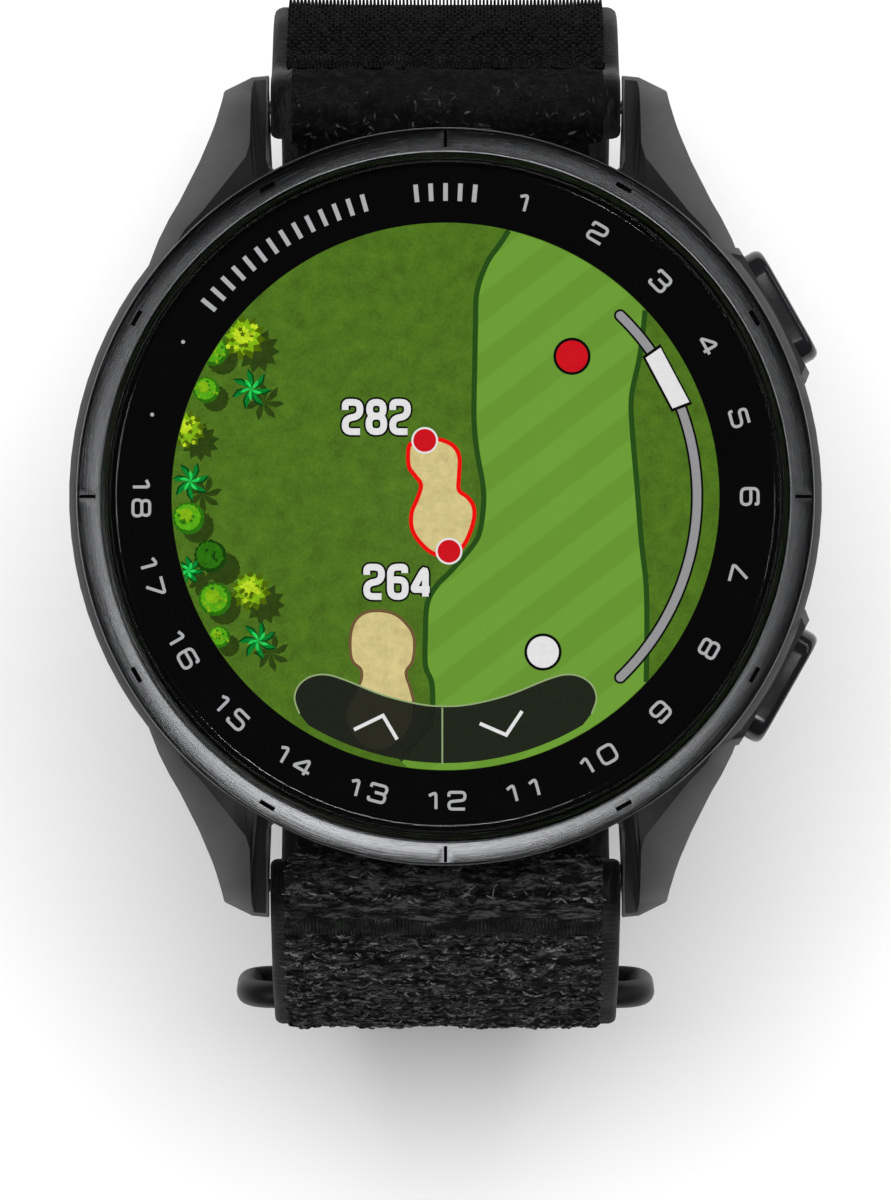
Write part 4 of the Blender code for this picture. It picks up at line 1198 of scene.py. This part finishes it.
def hooks_on_path(route):
    """Rows of moulded hooks on the long strap's outer face, and the tape that carries them."""
    even = resampled(route, HOOK_PITCH)
    sides = lefts(even)
    hooks, tape_rings = [], []
    half = BAND_HALF_WIDTH - SELVAGE
    columns = int(2 * half / HOOK_PITCH)
    base, wire = 0.5, 0.085
    for row, (point, side) in enumerate(zip(even, sides)):
        along = row * HOOK_PITCH
        if not HOOK_START <= along <= HOOK_END:
            continue
        ahead = Vector((side.y, -side.x))
        for column in range(columns + 1):
            x = HOOK_PITCH * (column - columns / 2 + (0.25 if row % 2 else -0.25))
            lean = 1 if (column + row) % 2 else -1
            rings = []
            for rise, reach in ((0.0, 0.0), (0.2, 0.0), (0.33, 0.08), (0.34, 0.2), (0.22, 0.28)):
                spot = point + side * (base + rise) + ahead * (lean * (reach - 0.08))
                up = ahead if rise < 0.3 else side
                rings.append(hoop(Vector((x, *spot)), ACROSS, Vector((0.0, *up)), wire, 4, 0.78))
            hooks.append(loft(rings))
        low, high = point + side * 0.42, point + side * 0.57
        tape_rings.append([(-half, *low), (half, *low), (half, *high), (-half, *high)])
    piece("long_strap_hook_tape", loft(tape_rings), ["tape"], "upper_strap", smooth=60.0)
    piece("long_strap_hooks", joined(hooks), ["hooks"], "upper_strap", smooth=60.0)


def tail_path():
    """Mid-line of the outer layer, from the ring back round to the 12 o'clock side."""
    inner = long_path()[::-1]
    spread = 2 * TURN_RADIUS - LAYER_STEP
    path = []
    for k, (point, normal) in enumerate(zip(inner, lefts(inner))):
        near = 1 - ease(k / (2 * PATH_STEPS))
        path.append(point - normal * (LAYER_STEP + spread * near))
    return path


def make_outer_layer():
    """The long strap's free run, which peels off past the fold."""
    tail = tail_path()
    run = tail[:len(tail) - round(TAIL_SPANS_CUT * PATH_STEPS)]
    run[0] = run[0] + Vector((0.0, 0.05))
    layer = cloth_sheet("outer_layer_cloth", run, None, ["band_wrap", "band_tail"], "pile", 1.05, 0.3, 0.22)
    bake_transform(layer)


# ---------------------------------------------------------------- stage, light and camera

def see_from_below(n):
    """The floor's underside lets light through, so that the watch's back can be seen."""
    side = n.tree.nodes.new("ShaderNodeNewGeometry")
    clear = n.add("ShaderNodeBsdfTransparent")
    under = side.outputs["Backfacing"]
    both = n.add("ShaderNodeMixShader", i0=under, i1=n.shader.outputs[0], i2=clear.outputs[0])
    n.tree.links.new(both.outputs[0], n.output.inputs["Surface"])


def make_stage():
    """A pale floor that glows a little, so that it is near white away from the shadow."""
    mesh = bpy.data.meshes.new("floor")
    reach = 1.5
    corners = [(-reach, -reach, 0), (reach, -reach, 0), (reach, reach, 0), (-reach, reach, 0)]
    mesh.from_pydata(corners, [], [(0, 1, 2, 3)])
    floor = bpy.data.objects.new("floor", mesh)
    floor.location.z = FLOOR * MM
    n = Nodes("pale_floor")
    tone = n.ramp(n.noise(n.place(), 0.02, 2.0), (0.3, grey(0.80)), (0.7, grey(0.84)))
    n.set(n.shader, Base_Color=tone, Roughness=0.9, Specular_IOR_Level=0.1)
    n.set(n.shader, Emission_Color=(1.0, 1.0, 1.0, 1.0), Emission_Strength=0.13)
    see_from_below(n)
    mesh.materials.append(n.material)
    bpy.context.scene.collection.objects.link(floor)


def soft_box(name, azimuth, elevation, distance, width, height, power, glossy=True):
    """A rectangular lamp that faces the watch from an azimuth clockwise from 12 o'clock."""
    data = bpy.data.lights.new(name, "AREA")
    data.shape = "RECTANGLE"
    data.size = width
    data.size_y = height
    data.energy = power
    lamp = bpy.data.objects.new(name, data)
    flat = clock(math.cos(math.radians(elevation)), azimuth)
    toward = Vector((flat.x, flat.y, math.sin(math.radians(elevation))))
    lamp.location = toward * distance
    lamp.rotation_euler = toward.to_track_quat("Z", "Y").to_euler()
    lamp.visible_glossy = glossy
    lamp.visible_diffuse = not glossy
    bpy.context.scene.collection.objects.link(lamp)


def make_light():
    """A soft key for diffuse light, and boxes that only gloss reflects, in metres and watts."""
    world = bpy.data.worlds.new("soft_studio")
    world.use_nodes = True
    background = world.node_tree.nodes["Background"]
    background.inputs["Color"].default_value = (1.0, 1.0, 1.0, 1.0)
    background.inputs["Strength"].default_value = 0.32
    world.cycles_visibility.glossy = False
    bpy.context.scene.world = world
    soft_box("key_behind", 0, 76, 0.7, 0.5, 0.36, 6.2, glossy=False)
    soft_box("foot_box", 192, 74, 0.6, 0.2, 0.09, 0.6)
    soft_box("left_box", 275, 74, 0.6, 0.08, 0.08, 0.13)
    soft_box("right_box", 97, 74, 0.6, 0.05, 0.08, 0.05)
    soft_box("top_right_box", 30, 74, 0.6, 0.04, 0.08, 0.07)
    soft_box("button_box", 62, 30, 0.5, 0.5, 0.03, 0.25)


def make_camera():
    """A long lens straight above the dial, shifted so that the watch stands a little high in the frame."""
    data = bpy.data.cameras.new("camera")
    data.lens = 292.8
    data.sensor_width = 36.0
    data.sensor_fit = "AUTO"
    data.shift_y = -0.08625
    camera = bpy.data.objects.new("camera", data)
    camera.location = (0.0, 0.0, 0.565)
    bpy.context.scene.collection.objects.link(camera)
    bpy.context.scene.camera = camera


def main():
    bpy.context.scene.view_settings.view_transform = "Standard"
    make_camera()
    make_stage()
    make_light()
    dress_cad_nodes()
    make_case()
    make_bezel()
    make_lens()
    make_dial_print()
    make_ground()
    make_bunkers()
    make_trees()
    make_markers()
    make_key_bar()
    make_buttons()
    make_ring()
    make_short_strap()
    make_long_strap()
    make_outer_layer()


main()
